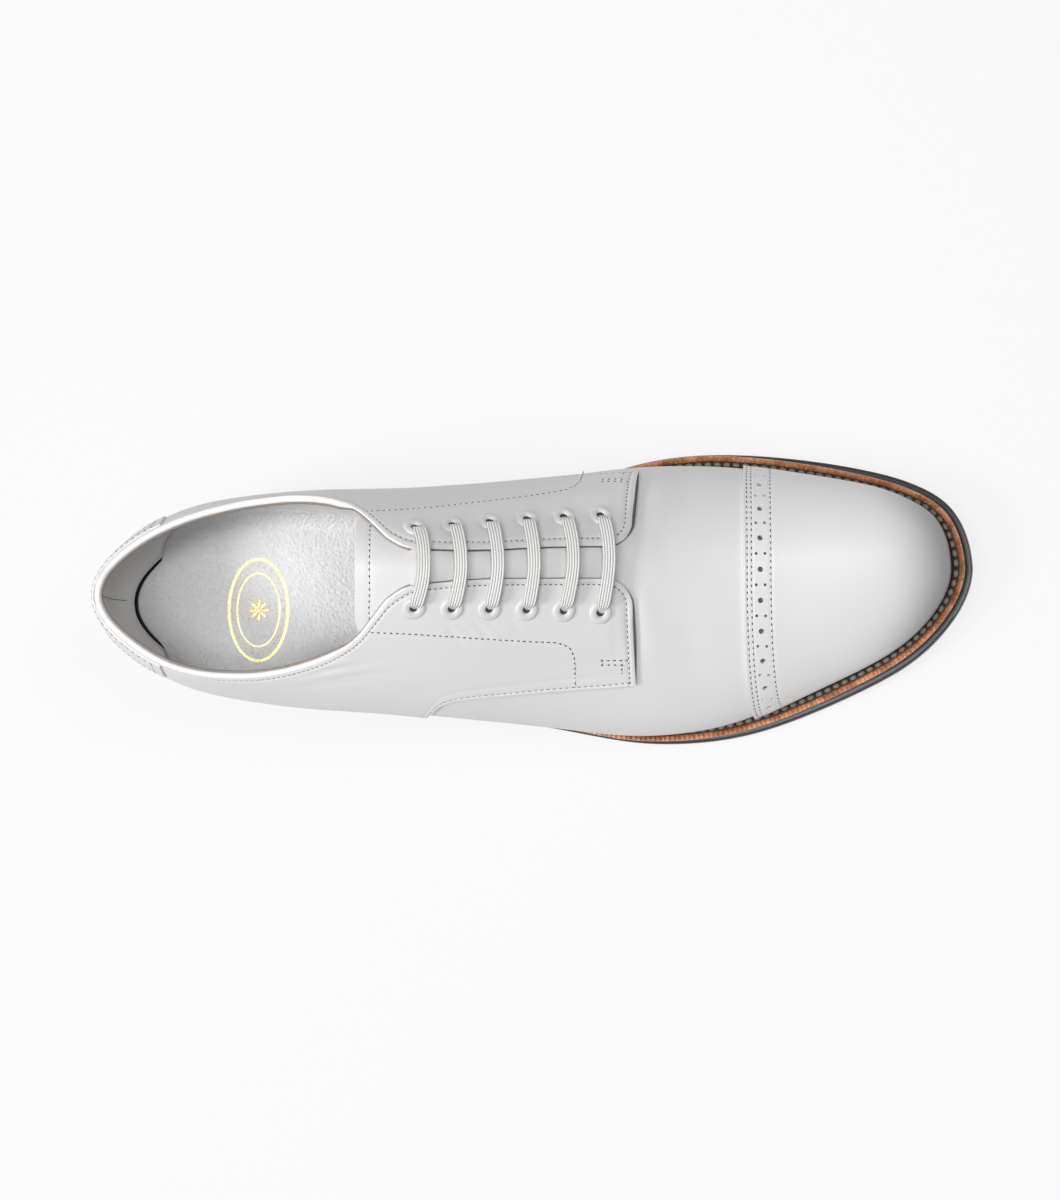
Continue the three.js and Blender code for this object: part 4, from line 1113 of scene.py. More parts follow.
def lining():
    """Lining of the quarters and vamp, from the collar down to the insole."""
    at_list = np.concatenate([crowd(0.05, 0.002, 1.1, 0.004), np.linspace(0.054, 0.66, 150)])
    rows = np.linspace(0, 1, 60)
    turn_list = turn_of(at_list)
    turns = []
    shares = []
    for sign in (-1, 1):
        girth = girth_at(turn_list, sign)
        top = by_side(top_line, at_list, sign) + 0.35 / girth
        turns.append(np.broadcast_to(turn_list, (len(rows), len(turn_list))))
        shares.append(sign * mix(top[None, :], 1.0, rows[:, None]))
    turn = np.hstack([turns[0][:, ::-1], turns[1][:, 1:]])
    share = np.hstack([shares[0][:, ::-1], shares[1][:, 1:]])
    offset = quarter_inside(turn, share)
    points = skin(turn, share, offset)
    middle = (points.shape[0] // 2, points.shape[1] // 2)
    piece = lay(points, -normal_at(turn, share)[middle], thickness=0.5)
    return dress(piece, "quarter_lining", "lining", ["upper"])


# Toe cap: a second layer over the vamp, with a folded rear edge, punched and sewn.
CAP_ROW_ONE = 1.15
CAP_ROW_TWO = 2.65
CAP_ROW_THREE = 9.2


def cap_grid():
    half = crowd(1.0, 0.010, 1.0, 0.010)
    share = np.concatenate([-half[::-1], half[1:]])
    near = crowd(13.0, 0.3, 1.05, 0.5)
    rear = cap_rear(share)
    near_turn = turn_of(rear[None, :] + near[:, None] / LAST_LENGTH)
    rest = 1 - (1 - np.linspace(0, 1, 60)[1:]) ** 1.15
    rest_turn = mix(near_turn[-1][None, :], 1.0, rest[:, None])
    turn = np.vstack([near_turn, rest_turn])
    return turn, np.broadcast_to(share, turn.shape)


def from_cap_rear(turn, share):
    return LAST_LENGTH * (at_of(turn) - cap_rear(share))


def cap_offset(turn, share):
    back = from_cap_rear(turn, share)
    relief = 0.10 * bell(back, 0.5, 0.5) - 0.24 * bell(back, CAP_ROW_ONE, 0.42)
    relief = relief - 0.22 * bell(back, CAP_ROW_TWO, 0.4) - 0.16 * bell(back, CAP_ROW_THREE, 0.5)
    return WALL + CAP_THICKNESS + relief


PUNCH_PITCH = 10.35
PUNCHES = 6
LARGE_PUNCH = 0.95
SMALL_PUNCH = 0.52
PUNCH_BACK = 5.6
SMALL_PUNCH_BACKS = (4.2, 7.2)


def punch(back, across, radius):
    """A round punch stood through the cap at a distance from its edge and from the ridge."""
    share = 0.0
    for _ in range(3):
        turn = turn_of(cap_rear(np.array(share)) + back / LAST_LENGTH)
        share = across / float(girth_at(turn, 1 if across > 0 else -1))
    clear_selection()
    bpy.ops.mesh.primitive_cylinder_add(vertices=24, radius=radius, depth=3.4)
    tool = bpy.context.object
    place = skin(turn, share, WALL + CAP_THICKNESS)
    set_points(tool, stand_on(mesh_points(tool), place.reshape(3), normal_at(turn, share).reshape(3)))
    return tool


def punches():
    tools = []
    for k in range(-PUNCHES, PUNCHES):
        tools.append(punch(PUNCH_BACK, k * PUNCH_PITCH, LARGE_PUNCH))
        for back in SMALL_PUNCH_BACKS:
            tools.append(punch(back, (k + 0.5) * PUNCH_PITCH, SMALL_PUNCH))
    return join(tools)


def punch_shade_backing():
    """Dark sheet under the punched band of the toe cap, painted shade that darkens the holes."""
    share = np.linspace(-0.98, 0.98, 160)
    rows = np.linspace(1.6, 8.6, 12)
    turn = turn_of(cap_rear(share)[None, :] + rows[:, None] / LAST_LENGTH)
    share = np.broadcast_to(share, turn.shape)
    piece = lay_on_skin(turn, share, WALL + 0.12 + 0 * share, thickness=0.08)
    return dress(piece, "punch_shade_backing", "backing")


def toe_cap():
    turn, share = cap_grid()
    piece = lay_on_skin(turn, share, cap_offset(turn, share), weld=0.02, thickness=CAP_THICKNESS - 0.05,
                        bevel=0.3, segments=2)
    tools = punches()
    modify(piece, "BOOLEAN", object=tools, operation="DIFFERENCE", solver="EXACT")
    bpy.data.objects.remove(tools)
    shade(piece)
    return dress(piece, "toe_cap_leather", "shaded_cap_calf", ["toe_cap"])


# Tongue, running down to meet the vamp between the facings.
TONGUE_CORNER = 0.012
TONGUE_DIP = 0.012
TONGUE_FRONT_AT = 0.615
TONGUE_STITCH = 4.6
TONGUE_ROW_PITCH = 2.3


def tongue_top(across):
    return TONGUE_TOP_AT + TONGUE_DIP * (1 - across**2) + TONGUE_CORNER * np.abs(across) ** 6


def tongue():
    across = np.linspace(-1, 1, 61)
    rows = np.concatenate([np.linspace(0, 0.04, 12), np.linspace(0.045, 1, 110)])
    top = tongue_top(across)
    at = mix(top[None, :], TONGUE_FRONT_AT, rows[:, None])
    turn = turn_of(at)
    half = TONGUE_HALF_WIDTH + TONGUE_TAPER * (1 - rows[:, None])
    share = across[None, :] * half / girth_at(turn, side_of(across)[None, :])
    full = smooth(at, 0.45, TONGUE_JOIN_AT - VAMP_REAR_BACK)
    sink = smooth(at, TONGUE_JOIN_AT - VAMP_REAR_BACK, TONGUE_JOIN_AT)
    offset = mix(TONGUE_THICKNESS, WALL - 0.02, full) - 0.8 * sink
    from_top = LAST_LENGTH * (at - top[None, :])
    offset = offset - 0.18 * bell(from_top, TONGUE_STITCH, 0.5) - creased(turn, share)
    piece = lay_on_skin(turn, share, offset, thickness=TONGUE_THICKNESS - 0.3, bevel=0.5, segments=3)
    return dress(piece, "tongue_leather", "lit_tongue_calf", ["tongue"])


# Rolled collar: a folded edge round the opening, with the lining's cut edge inside it.
ROLL_RADIUS = 1.1
ROLL_SIDES = 14


def collar_path(front_at=COLLAR_FRONT_AT + 0.012, count=170, depth=0.6):
    at = front_at * (1 - np.linspace(0, 1, count)) ** 1.25
    pieces = []
    for sign in (-1, 1):
        turn = turn_of(at)
        girth = girth_at(turn, sign)
        share = sign * (by_side(top_line, at, sign) + depth / girth)
        pieces.append((turn, share))
    turn = np.concatenate([pieces[0][0], pieces[1][0][::-1][1:]])
    share = np.concatenate([pieces[0][1], pieces[1][1][::-1][1:]])
    return turn, share


def collar_frame(turn, share):
    """Middle of the quarter's wall, its outward normal and the way up to the edge."""
    outer = quarter_outside(turn, share)
    inner = quarter_inside(turn, share)
    normal = normal_at(turn, share)
    middle = skin(turn, share, (outer + inner) / 2)
    along = ahead_of(middle)
    up = unit(np.cross(along, normal))
    up = np.where(up[:, 2:3] < 0, -up, up)
    return middle, normal, up, (outer - inner) / 2


def sweep(centre, first, second, ring):
    """A closed bar: at each centre a ring of (first, second) lengths, as points of the bar."""
    return (
        centre[:, None, :]
        + first[:, None, :] * ring[..., 0][..., None]
        + second[:, None, :] * ring[..., 1][..., None]
    )


def bar(points, weave=None):
    """A closed bar from rings of points, its ring seam and both ends closed."""
    count, sides = points.shape[:2]
    piece = blank_grid(count, sides + 1)
    closed = np.concatenate([points, points[:, :1]], axis=1)
    if weave is not None:
        uv = piece.data.uv_layers.new(name="weave")
        index = np.empty(len(piece.data.loops), int)
        piece.data.loops.foreach_get("vertex_index", index)
        uv.data.foreach_set("uv", weave.reshape(-1, 2)[index].reshape(-1))
    set_points(piece, closed)
    edit(piece, (bpy.ops.mesh.remove_doubles, {"threshold": 1e-7}))
    edit(piece, (bpy.ops.mesh.select_all, {"action": "DESELECT"}), (bpy.ops.mesh.select_non_manifold, {}),
         (bpy.ops.mesh.edge_face_add, {}))
    make_active(piece)
    bpy.ops.object.mode_set(mode="EDIT")
    bpy.ops.mesh.select_all(action="SELECT")
    bpy.ops.mesh.normals_make_consistent(inside=False)
    bpy.ops.object.mode_set(mode="OBJECT")
    return piece


def round_bar(centre, first, second, half_first, half_second, sides=8):
    """An oval bar along a path, with its half sizes along two directions at each point."""
    angle = np.linspace(0, 2 * math.pi, sides, endpoint=False)
    both = [np.broadcast_to(half, len(centre))[:, None] * wave for half, wave in
            ((half_first, np.cos(angle)), (half_second, np.sin(angle)))]
    piece = bar(sweep(centre, first, second, np.stack(both, axis=-1)))
    shade(piece, 60)
    return piece


def collar_roll():
    turn, share = collar_path()
    middle, normal, up, half = collar_frame(turn, share)
    fade = smooth(COLLAR_FRONT_AT + 0.012 - at_of(turn), 0, 0.03)
    across = (0.88 * half + 0.1) * mix(0.72, 1.0, fade)
    piece = round_bar(middle, normal, up, across, ROLL_RADIUS * mix(0.35, 1.0, fade), ROLL_SIDES)
    return dress(piece, "collar_roll", "folded", ["collar_binding"])


def collar_raw_edge():
    turn, share = collar_path(COLLAR_FRONT_AT - 0.004, 150, 0.5)
    middle, normal, up, half = collar_frame(turn, share)
    centre = middle - normal * (half + 0.15)[:, None] + up * 0.45
    piece = round_bar(centre, normal, up, 0.42, 0.66)
    return dress(piece, "collar_raw_edge", "raw")


def facing_outline(side):
    """Turns and girth distances round a facing: along its top, round its corner and down its front."""
    marks = []
    for back in np.linspace(LAST_LENGTH * (FACING_FRONT_AT - COLLAR_FRONT_AT - 0.01), FACING_CORNER, 90):
        marks.append((back, 0.0))
    for angle in np.linspace(math.pi / 2, 0, 30)[1:-1]:
        marks.append((FACING_CORNER * (1 - math.cos(angle)), FACING_CORNER * (1 - math.sin(angle))))
    for down in np.linspace(FACING_CORNER, 60, 90):
        marks.append((0.0, down))
    turn, share = [], []
    for back, down in marks:
        at = FACING_FRONT_AT - back / LAST_LENGTH
        here = float(turn_of(at))
        girth = float(girth_at(here, side))
        top = float(by_side(top_line, at, side)) * girth
        bottom = float(by_side(lower_line, at, side)) * girth
        if top + down < bottom:
            turn.append(here)
            share.append(side * (top + down) / girth)
    for at in np.linspace(FACING_FRONT_AT - 0.002, 0.372, 150):
        turn.append(float(turn_of(at)))
        share.append(side * float(by_side(lower_line, at, side)))
    return np.array(turn), np.array(share)


# Where the dark edge bar shows widest down the front of a facing, from the ridge: there it is painted
# shadow under the raised edge as well as the cut edge.
FRONT_MIDDLE = 24.0
FRONT_REACH = 17.0


def facing_edges():
    """Dark cut edge that peeps out all round each facing, under its folded top face; down the front it
    widens onto the vamp as painted shadow.
    """
    for name, side in (("medial", 1), ("lateral", -1)):
        turn, share = facing_outline(side)
        centre = skin(turn, share, quarter_outside(turn, share) - 0.95)
        normal = normal_at(turn, share)
        along = ahead_of(centre)
        across = unit(np.cross(along, normal))
        across = np.where(across[:, :1] < 0, -across, across)
        front = smooth(at_of(turn), FACING_FRONT_AT - 0.008, FACING_FRONT_AT - 0.001)
        down = np.abs(share) * girth_at(turn, side)
        # Painted shadow: down the front the dark bar grows wider and moves out over the vamp, where the
        # raised edge shades it.
        shadow_widening = front * np.maximum(0, 1 - ((down - FRONT_MIDDLE) / FRONT_REACH) ** 2)
        half = 0.20 + 0.42 * shadow_widening
        centre = centre + across * (0.34 * shadow_widening)[:, None]
        dress(round_bar(centre, normal, across, 0.42, half), f"cut_edge_and_shadow_{name}", "cut")


BACKSTAY_RISE = 0.75
BACKSTAY_CURVE = 0.45
BACKSTAY_ROW_PITCH = 2.4


def backstay_depth(columns):
    """Depth of the strip behind the heel, from its middle at 0 to its ends at -1 and 1."""
    return BACKSTAY_HEIGHT * (1 - BACKSTAY_CURVE * columns**2)


def backstay():
    columns = np.linspace(-1, 1, 81)
    lower = 1 - crowd(0.08, 0.01, 1, 0.01)[::-1]
    rows = np.concatenate([crowd(0.12, 0.01, 1.0, 0.01), np.linspace(0.14, 0.9, 24), lower])
    turn = np.abs(columns) * turn_of(BACKSTAY_AT)
    sign = side_of(columns)
    girth = girth_at(turn, sign)
    depth = mix(backstay_depth(columns)[None, :], 1.2, rows[:, None])
    share = sign * (by_side(top_line, at_of(turn), sign) + depth / girth)
    turn = np.broadcast_to(turn, share.shape)
    offset = backstay_face(turn, share)
    piece = lay_on_skin(turn, share, offset, thickness=0.7, bevel=0.3, segments=3)
    return dress(piece, "backstay_leather", "calf", ["backstay"])


# Bottom outlines: the last's foot line moved outward in plan.
def foot_plan(turn, side):
    return last_point(turn, side * 1.0)[..., :2]


def outline(turn, side, reach):
    """Plan point at a distance outside the foot line."""
    turn = np.asarray(turn, float)
    near = np.clip(turn, TURN_STEP, 1 - TURN_STEP)
    run = unit(foot_plan(near + TURN_STEP, side) - foot_plan(near - TURN_STEP, side))
    out = np.stack([-run[..., 1], run[..., 0]], axis=-1) * side
    ends = (turn < TURN_STEP) | (turn > 1 - TURN_STEP)
    flat = np.stack([np.where(turn < 0.5, -1.0, 1.0), np.zeros_like(turn)], axis=-1)
    out = np.where(ends[..., None], flat, out)
    return foot_plan(turn, side) + out * np.asarray(reach)[..., None]


def sole_reach(turn, side):
    return SOLE_REACH * (margin["medial"](turn) if side > 0 else margin["lateral"](turn))


def welt_inset(turn, side):
    return SOLE_REACH * (margin["medial_inset"](turn) if side > 0 else margin["lateral_inset"](turn))


def loop_turns(count):
    """Turns and sides all the way round, evenly spaced along the edge."""
    fine = np.linspace(0, 1, 4001)
    turns = []
    for side in (-1, 1):
        plan = outline(fine, side, sole_reach(fine, side))
        run = run_of(plan)
        steps = int(round(count * run[-1] / 620))
        turns.append(np.interp(np.linspace(0, run[-1], steps + 1), run, fine))
    turn = np.concatenate([turns[0], turns[1][::-1][1:-1]])
    side = np.concatenate([-np.ones(len(turns[0])), np.ones(len(turns[1]) - 2)])
    return turn, side


def both_sides(value_of, turn, side):
    """Values of a function of turn and side, where the sides differ from point to point."""
    return np.where(side > 0, value_of(turn, 1), value_of(turn, -1))


def ring_points(turn, side, reach_of, lift_of):
    """One ring round the bottom, at a reach from the foot line and a lift over the underside."""
    plan = np.where(
        (side > 0)[:, None],
        outline(turn, 1, reach_of(turn, 1)),
        outline(turn, -1, reach_of(turn, -1)),
    )
    lift = both_sides(lift_of, turn, side)
    return np.column_stack([plan, underside(plan[:, 0]) + lift])


def closed_loop(rings):
    """Rings of points, each all the way round, as one band closed on itself both ways."""
    points = np.stack(rings + rings[:1], axis=0)
    points = np.concatenate([points, points[:, :1]], axis=1)
    piece = blank_grid(points.shape[0], points.shape[1])
    set_points(piece, points)
    edit(piece, (bpy.ops.mesh.remove_doubles, {"threshold": 1e-7}))
    edit(piece, (bpy.ops.mesh.normals_make_consistent, {"inside": False}))
    return piece


def capped_stack(rings):
    """Rings of points as a wall, closed by a fan of strips at the bottom and the top."""
    count = rings[0].shape[0]
    bottom, top = [(ring + ring[(-np.arange(count)) % count]) / 2 for ring in (rings[0], rings[-1])]
    points = np.stack([bottom] + rings + [top], axis=0)
    points = np.concatenate([points, points[:, :1]], axis=1)
    piece = blank_grid(points.shape[0], points.shape[1])
    set_points(piece, points)
    edit(piece, (bpy.ops.mesh.remove_doubles, {"threshold": 1e-6}))
    edit(piece, (bpy.ops.mesh.normals_make_consistent, {"inside": False}))
    return piece


def outsole():
    turn, side = loop_turns(700)

    def ring(inset, lift):
        return ring_points(turn, side, lambda t, s: sole_reach(t, s) - inset, lambda t, s: lift + 0 * t)

    round_edge = [(0.9, 0.0), (0.35, 0.15), (0.08, 0.5), (0.0, 1.1), (0.0, 2.5), (0.0, 3.9), (0.12, 4.5),
                  (0.5, 4.9), (1.1, 5.02), (3.0, 5.0)]
    piece = capped_stack([ring(inset, lift) for inset, lift in round_edge])
    shade(piece, 40)
    dress(piece, "outsole_leather", "edge", ["outsole"])
    piece.data.materials.append(finish["bottom"])
    for face in piece.data.polygons:
        face.material_index = int(face.normal.z < -0.8)
    return piece


# Storm welt: a flat channel for the stitches and a wheeled ridge outside it.
RIDGE_WIDTH = 2.2
RIDGE_OUT = 1.1
RIDGE_RISE = 1.3
TOOTH_PITCH = 1.75


def welt_reach(turn, side):
    """Outer edge of the wheeled ridge, a little inside the outsole's."""
    inset = welt_inset(turn, side)
    return sole_reach(turn, side) - inset + RIDGE_OUT * smooth(inset, 0.8, 1.8)


def welt_room(turn, side):
    return smooth(welt_reach(turn, side) - RIDGE_WIDTH - WALL, GAP, GAP + WALL / 2)


def welt_rings():
    """Places round the welt, with the wheel's teeth and the room for its ridge at each."""
    turn, side = loop_turns(2600)
    base = ring_points(turn, side, welt_reach, lambda t, s: 0 * t)
    run = run_of(base[:, :2])
    pitch = run[-1] / round(run[-1] / TOOTH_PITCH)
    tooth = 0.5 + 0.5 * np.cos(2 * math.pi * run / pitch)
    room = both_sides(welt_room, turn, side)
    return turn, side, tooth, room


WELT_TOP = OUTSOLE_THICKNESS + WELT_THICKNESS


def welt_ring(places, inset, lift, rise, bite):
    turn, side, tooth, room = places
    points = ring_points(turn, side, lambda t, s: welt_reach(t, s) - inset, lambda t, s: lift + 0 * t)
    points[:, 2] += room * (RIDGE_RISE * rise - bite * tooth)
    return points


def foot_ring(places, lift):
    turn, side = places[:2]
    return ring_points(turn, side, lambda t, s: 0.3 + 0 * t, lambda t, s: lift + 0 * t)


def welt():
    """Flat of the welt, dark in its channel."""
    places = welt_rings()
    rings = [
        foot_ring(places, OUTSOLE_THICKNESS + GAP),
        welt_ring(places, 0.5, OUTSOLE_THICKNESS + 0.05, 0, 0),
        welt_ring(places, 0.2, OUTSOLE_THICKNESS + 0.3, 0, 0),
        welt_ring(places, 0.2, WELT_TOP - 0.9, 0, 0),
        welt_ring(places, 0.7, WELT_TOP - 0.35, 0, 0),
        foot_ring(places, WELT_TOP - 0.35),
    ]
    piece = closed_loop(rings)
    shade(piece, 50)
    return dress(piece, "welt_channel", "channel", ["welt"])


def welt_ridge():
    """Wheeled ridge of the storm welt, bitten by the wheel's teeth."""
    places = welt_rings()
    profile = [
        (2.05, -1.0, 0.0, 0.0),
        (0.0, -1.6, 0.0, 0.0),
        (0.0, -0.9, 0.0, 0.0),
        (0.0, -0.3, 0.45, 0.2),
        (0.14, 0.0, 0.75, 0.55),
        (0.42, 0.0, 0.97, 0.8),
        (0.8, 0.0, 1.0, 0.85),
        (1.15, 0.0, 0.9, 0.8),
        (1.5, 0.0, 0.55, 0.45),
        (1.8, -0.1, 0.2, 0.14),
        (2.05, -0.4, 0.0, 0.0),
    ]
    rings = [welt_ring(places, inset, WELT_TOP + low, rise, bite) for inset, low, rise, bite in profile]
    piece = closed_loop(rings)
    shade(piece, 50)
    return dress(piece, "welt_ridge", "welt", ["welt"])


# How far the sock leather climbs the inside wall, in millimetres of skin, and how far its end
# stays from the heel's lining.
SOCK_CLIMB = table(
    "at medial lateral",
    [
        (0.000, 0.6, 0.6),
        (0.030, 0.8, 0.8),
        (0.055, 8.5, 6.0),
        (0.095, 17.5, 12.0),
        (0.130, 16.0, 12.0),
        (0.170, 10.5, 9.0),
        (0.210, 6.3, 6.0),
        (0.250, 3.9, 4.0),
        (0.290, 3.4, 3.4),
        (0.900, 2.0, 2.0),
        (1.000, 0.6, 0.6),
    ],
)
SOCK_RISE = 0.8
SOCK_INSET = 1.3


def sock_height(x, across):
    """Top of the sock at a distance along the shoe, dished a little to its sides."""
    return underside(x) + OUTSOLE_THICKNESS + WELT_THICKNESS + SOCK_RISE + 0.5 * np.abs(across) ** 4


def sock_wall(turns, side, edge):
    """Rings of points from the flat of the sock up the wall, for one side."""
    climb_of = eased(SOCK_CLIMB["at"], SOCK_CLIMB["medial" if side > 0 else "lateral"])
    at = at_of(turns)
    climb = climb_of(at)
    girth = girth_at(turns, side)
    back = SOCK_INSET * (1 - smooth(at, 0.05, 0.11))
    flat = outline(turns, side, edge - 2.6 - back)
    corner = outline(turns, side, -0.4 - back)
    start = np.column_stack([flat, sock_height(flat[:, 0], 0.9)])
    turn_point = np.column_stack([corner, sock_height(corner[:, 0], 1.0)])
    first = np.minimum(climb, 4.0)
    wall = skin(turns, side * (1 - first / girth), -0.25)
    wall[:, 0] += back * (1 - smooth(at, 0.05, 0.11))
    rings = []
    for t in np.linspace(0, 1, 8):
        rings.append((1 - t) ** 2 * start + 2 * t * (1 - t) * turn_point + t**2 * wall)
    for t in np.linspace(0, 1, 9)[1:]:
        up = mix(first, climb, t)
        point = skin(turns, side * (1 - up / girth), -0.25)
        point[:, 0] += back * (1 - smooth(at, 0.05, 0.11))
        rings.append(point)
    return rings


def insole():
    """Sock leather inside the shoe, shaped up round the heel and waist."""
    fine = crowd(0.06, 0.001, 1.15, 0.005)
    turns = turn_of(np.concatenate([fine, np.linspace(0.065, 0.94, 170), 1 - fine[::-1]]))
    lateral = sock_wall(turns, -1, 0.0)
    medial = sock_wall(turns, 1, 0.0)
    middle = []
    for t in np.linspace(0, 1, 32)[1:-1]:
        point = mix(lateral[0], medial[0], t)
        point[:, 2] = sock_height(point[:, 0], 0.9 * (2 * t - 1))
        middle.append(point)
    points = np.stack(lateral[::-1] + middle + medial, axis=1)
    piece = lay(points, np.array([0, 0, 1.0]), weld=0.02, thickness=1.0, bevel=0.3)
    return dress(piece, "sock_leather", "sock", ["insole"])


HEEL_TAPER = 1.5


def heel_rings(layers):
    """Stack of heel outlines, cut off in front by the hollow breast."""
    fine = turn_of(np.linspace(0, BREAST_AT, 90))
    chord = BALL_WIDTH * 0.79
    radius = chord**2 / (8 * 3.0)
    rings = []
    for inset, lift_of in layers:
        lateral = outline(fine, -1, sole_reach(fine, -1) - inset)
        medial = outline(fine, 1, sole_reach(fine, 1) - inset)
        breast_y = np.linspace(lateral[-1, 1], medial[-1, 1], 40)[1:-1]
        wall = lateral[:-1]
        breast = np.column_stack([np.full(38, BREAST - GAP), breast_y])
        plan = np.vstack([wall, breast, medial[:-1][::-1][:-1]])
        hollow = BREAST + radius - 3.0 - np.sqrt(np.maximum(radius**2 - plan[:, 1] ** 2, 0))
        plan[:, 0] = np.minimum(plan[:, 0], hollow - GAP)
        rings.append(np.column_stack([plan, lift_of(plan[:, 0])]))
    return rings


def heel_piece(layers, name, material, node):
    piece = capped_stack(heel_rings(layers))
    shade(piece, 40)
    return dress(piece, name, material, [node])


def heel():
    taper = TOP_LIFT / HEEL_HEIGHT
    low = HEEL_TAPER * (1 - taper)
    stack = []
    lifts = 4
    for k in range(lifts):
        for share, nick in ((0.0, 0.16), (0.06, 0.0), (0.94, 0.0), (1.0, 0.16)):
            t = (k + share) / lifts
            lift_of = lambda x, t=t: mix(TOP_LIFT + GAP, underside(x) - 0.05, t)
            stack.append((mix(low, 0, t) + nick, lift_of))
    heel_piece(stack, "heel_stack_leather", "edge", "heel_stack")
    lift = [
        (HEEL_TAPER + 0.9, lambda x: 0 * x),
        (HEEL_TAPER + 0.35, lambda x: 0 * x + 0.2),
        (HEEL_TAPER + 0.1, lambda x: 0 * x + 0.8),
        (low + 0.05, lambda x: 0 * x + TOP_LIFT - 0.3),
        (low + 0.3, lambda x: 0 * x + TOP_LIFT + 0.1),
    ]
    heel_piece(lift, "heel_top_lift_rubber", "rubber", "heel_top_lift")


# Eyelets and laces.
def eyelet_frames():
    frames = []
    for pair in range(EYELET_PAIRS):
        at = mix(FIRST_EYELET_AT, LAST_EYELET_AT, pair / (EYELET_PAIRS - 1))
        turn = turn_of(at)
        for name, side in (("medial", 1), ("lateral", -1)):
            share = side * eyelet_reach[name](at) / girth_at(turn, side)
            normal = normal_at(turn, share)
            seat = skin(turn, share, quarter_outside(turn, share))
            frames.append({"name": name, "pair": pair, "turn": float(turn), "share": float(share),
                           "normal": normal.reshape(3), "seat": seat.reshape(3)})
    return frames


def stand_on(points, seat, normal):
    """Points made about the origin with +z up, stood on a seat along its normal."""
    up = unit(normal)
    side = unit(np.cross(np.array([0.0, 1.0, 0.0]), up))
    front = np.cross(up, side)
    return points @ np.stack([side, front, up]) + seat


def mesh_points(piece):
    points = np.empty(len(piece.data.vertices) * 3)
    piece.data.vertices.foreach_get("co", points)
    return points.reshape(-1, 3)


def eyelet(frame_at):
    """Rounded enamel flange, rolled down into its barrel."""
    rim = EYELET_DIAMETER / 2
    bore = EYELET_BORE / 2 - 0.55
    clear_selection()
    bpy.ops.mesh.primitive_torus_add(
        major_radius=(rim + bore) / 2, minor_radius=(rim - bore) / 2, major_segments=48, minor_segments=16
    )
    flange = bpy.context.object
    clear_selection()
    bpy.ops.mesh.primitive_cylinder_add(vertices=48, radius=bore + 0.12, depth=2.4, end_fill_type="NOTHING",
                                        location=(0, 0, -1.1))
    barrel = bpy.context.object
    modify(barrel, "SOLIDIFY", thickness=0.35, offset=1.0)
    barrel.select_set(True)
    flange.select_set(True)
    bpy.context.view_layer.objects.active = flange
    bpy.ops.object.transform_apply(location=True, rotation=True, scale=True)
    bpy.ops.object.join()
    points = mesh_points(flange)
    squash = np.abs(points[:, 2]) < (rim - bore) / 2 + 1e-6
    low = points[:, 2] < -0.05
    ring = np.hypot(points[:, 0], points[:, 1]) > bore + 0.9
    points[:, 2] = np.where(low & ring, points[:, 2] * 0.15, points[:, 2])
    points[:, 2] = np.where((points[:, 2] > 0) & squash, points[:, 2] * 0.6, points[:, 2])
    placed = stand_on(points + (0, 0, 0.18), frame_at["seat"], frame_at["normal"])
    set_points(flange, placed)
    shade(flange, 50)
    node = f"eyelet_{frame_at['name']}_{frame_at['pair'] + 1}"
    return dress(flange, f"{node}_enamel", "enamel", [node])


def eyelet_hole_shade(frames):
    """Painted shade of the holes: dark discs down inside the eyelets."""
    discs = []
    for frame_at in frames:
        clear_selection()
        bpy.ops.mesh.primitive_cylinder_add(vertices=32, radius=EYELET_BORE / 2 + 0.1, depth=0.1)
        disc = bpy.context.object
        points = mesh_points(disc) + (0, 0, 0.08)
        set_points(disc, stand_on(points, frame_at["seat"], frame_at["normal"]))
        discs.append(disc)
    holes = join(discs)
    shade(holes)
    return dress(holes, "eyelet_hole_shade", "hole")


WEAVE_PITCH = 1.05
EYELET_FLANGE = 0.9
LACE_CLEAR = EYELET_FLANGE + EYELET_DIAMETER**2 / 4 / BALL_WIDTH + 2 * GAP + LACE_THICKNESS / 2
LACE_SINK = 0.6
LACE_PRESS = 0.55
LACE_ENDS = (3.2, 2.2, 1.3)


def lace_route(start, end):
    """Middle line of a lace bar from inside one eyelet to inside the other, with its arch at each point."""
    steps = np.linspace(0, 1, 60)
    arch = np.sin(math.pi * steps)
    bow = LACE_BOWS[start["pair"]] * np.sin(math.pi * steps**0.72)
    turn = turn_of(at_of(start["turn"]) + bow / LAST_LENGTH)
    share = mix(start["share"], end["share"], steps)
    normal = normal_at(turn, share)
    flat = skin(turn, share, quarter_outside(turn, share))
    centre = mix(start["seat"][None, :], end["seat"][None, :], steps[:, None])
    lift = np.maximum(np.sum(normal * (flat - centre), axis=1), 0)
    rise = mix(-LACE_SINK, LACE_CLEAR - LACE_PRESS, smooth(arch, 0.0, 0.33))
    centre = centre + normal * (lift + rise)[:, None]
    centre[:, 0] += bow
    return arch, centre


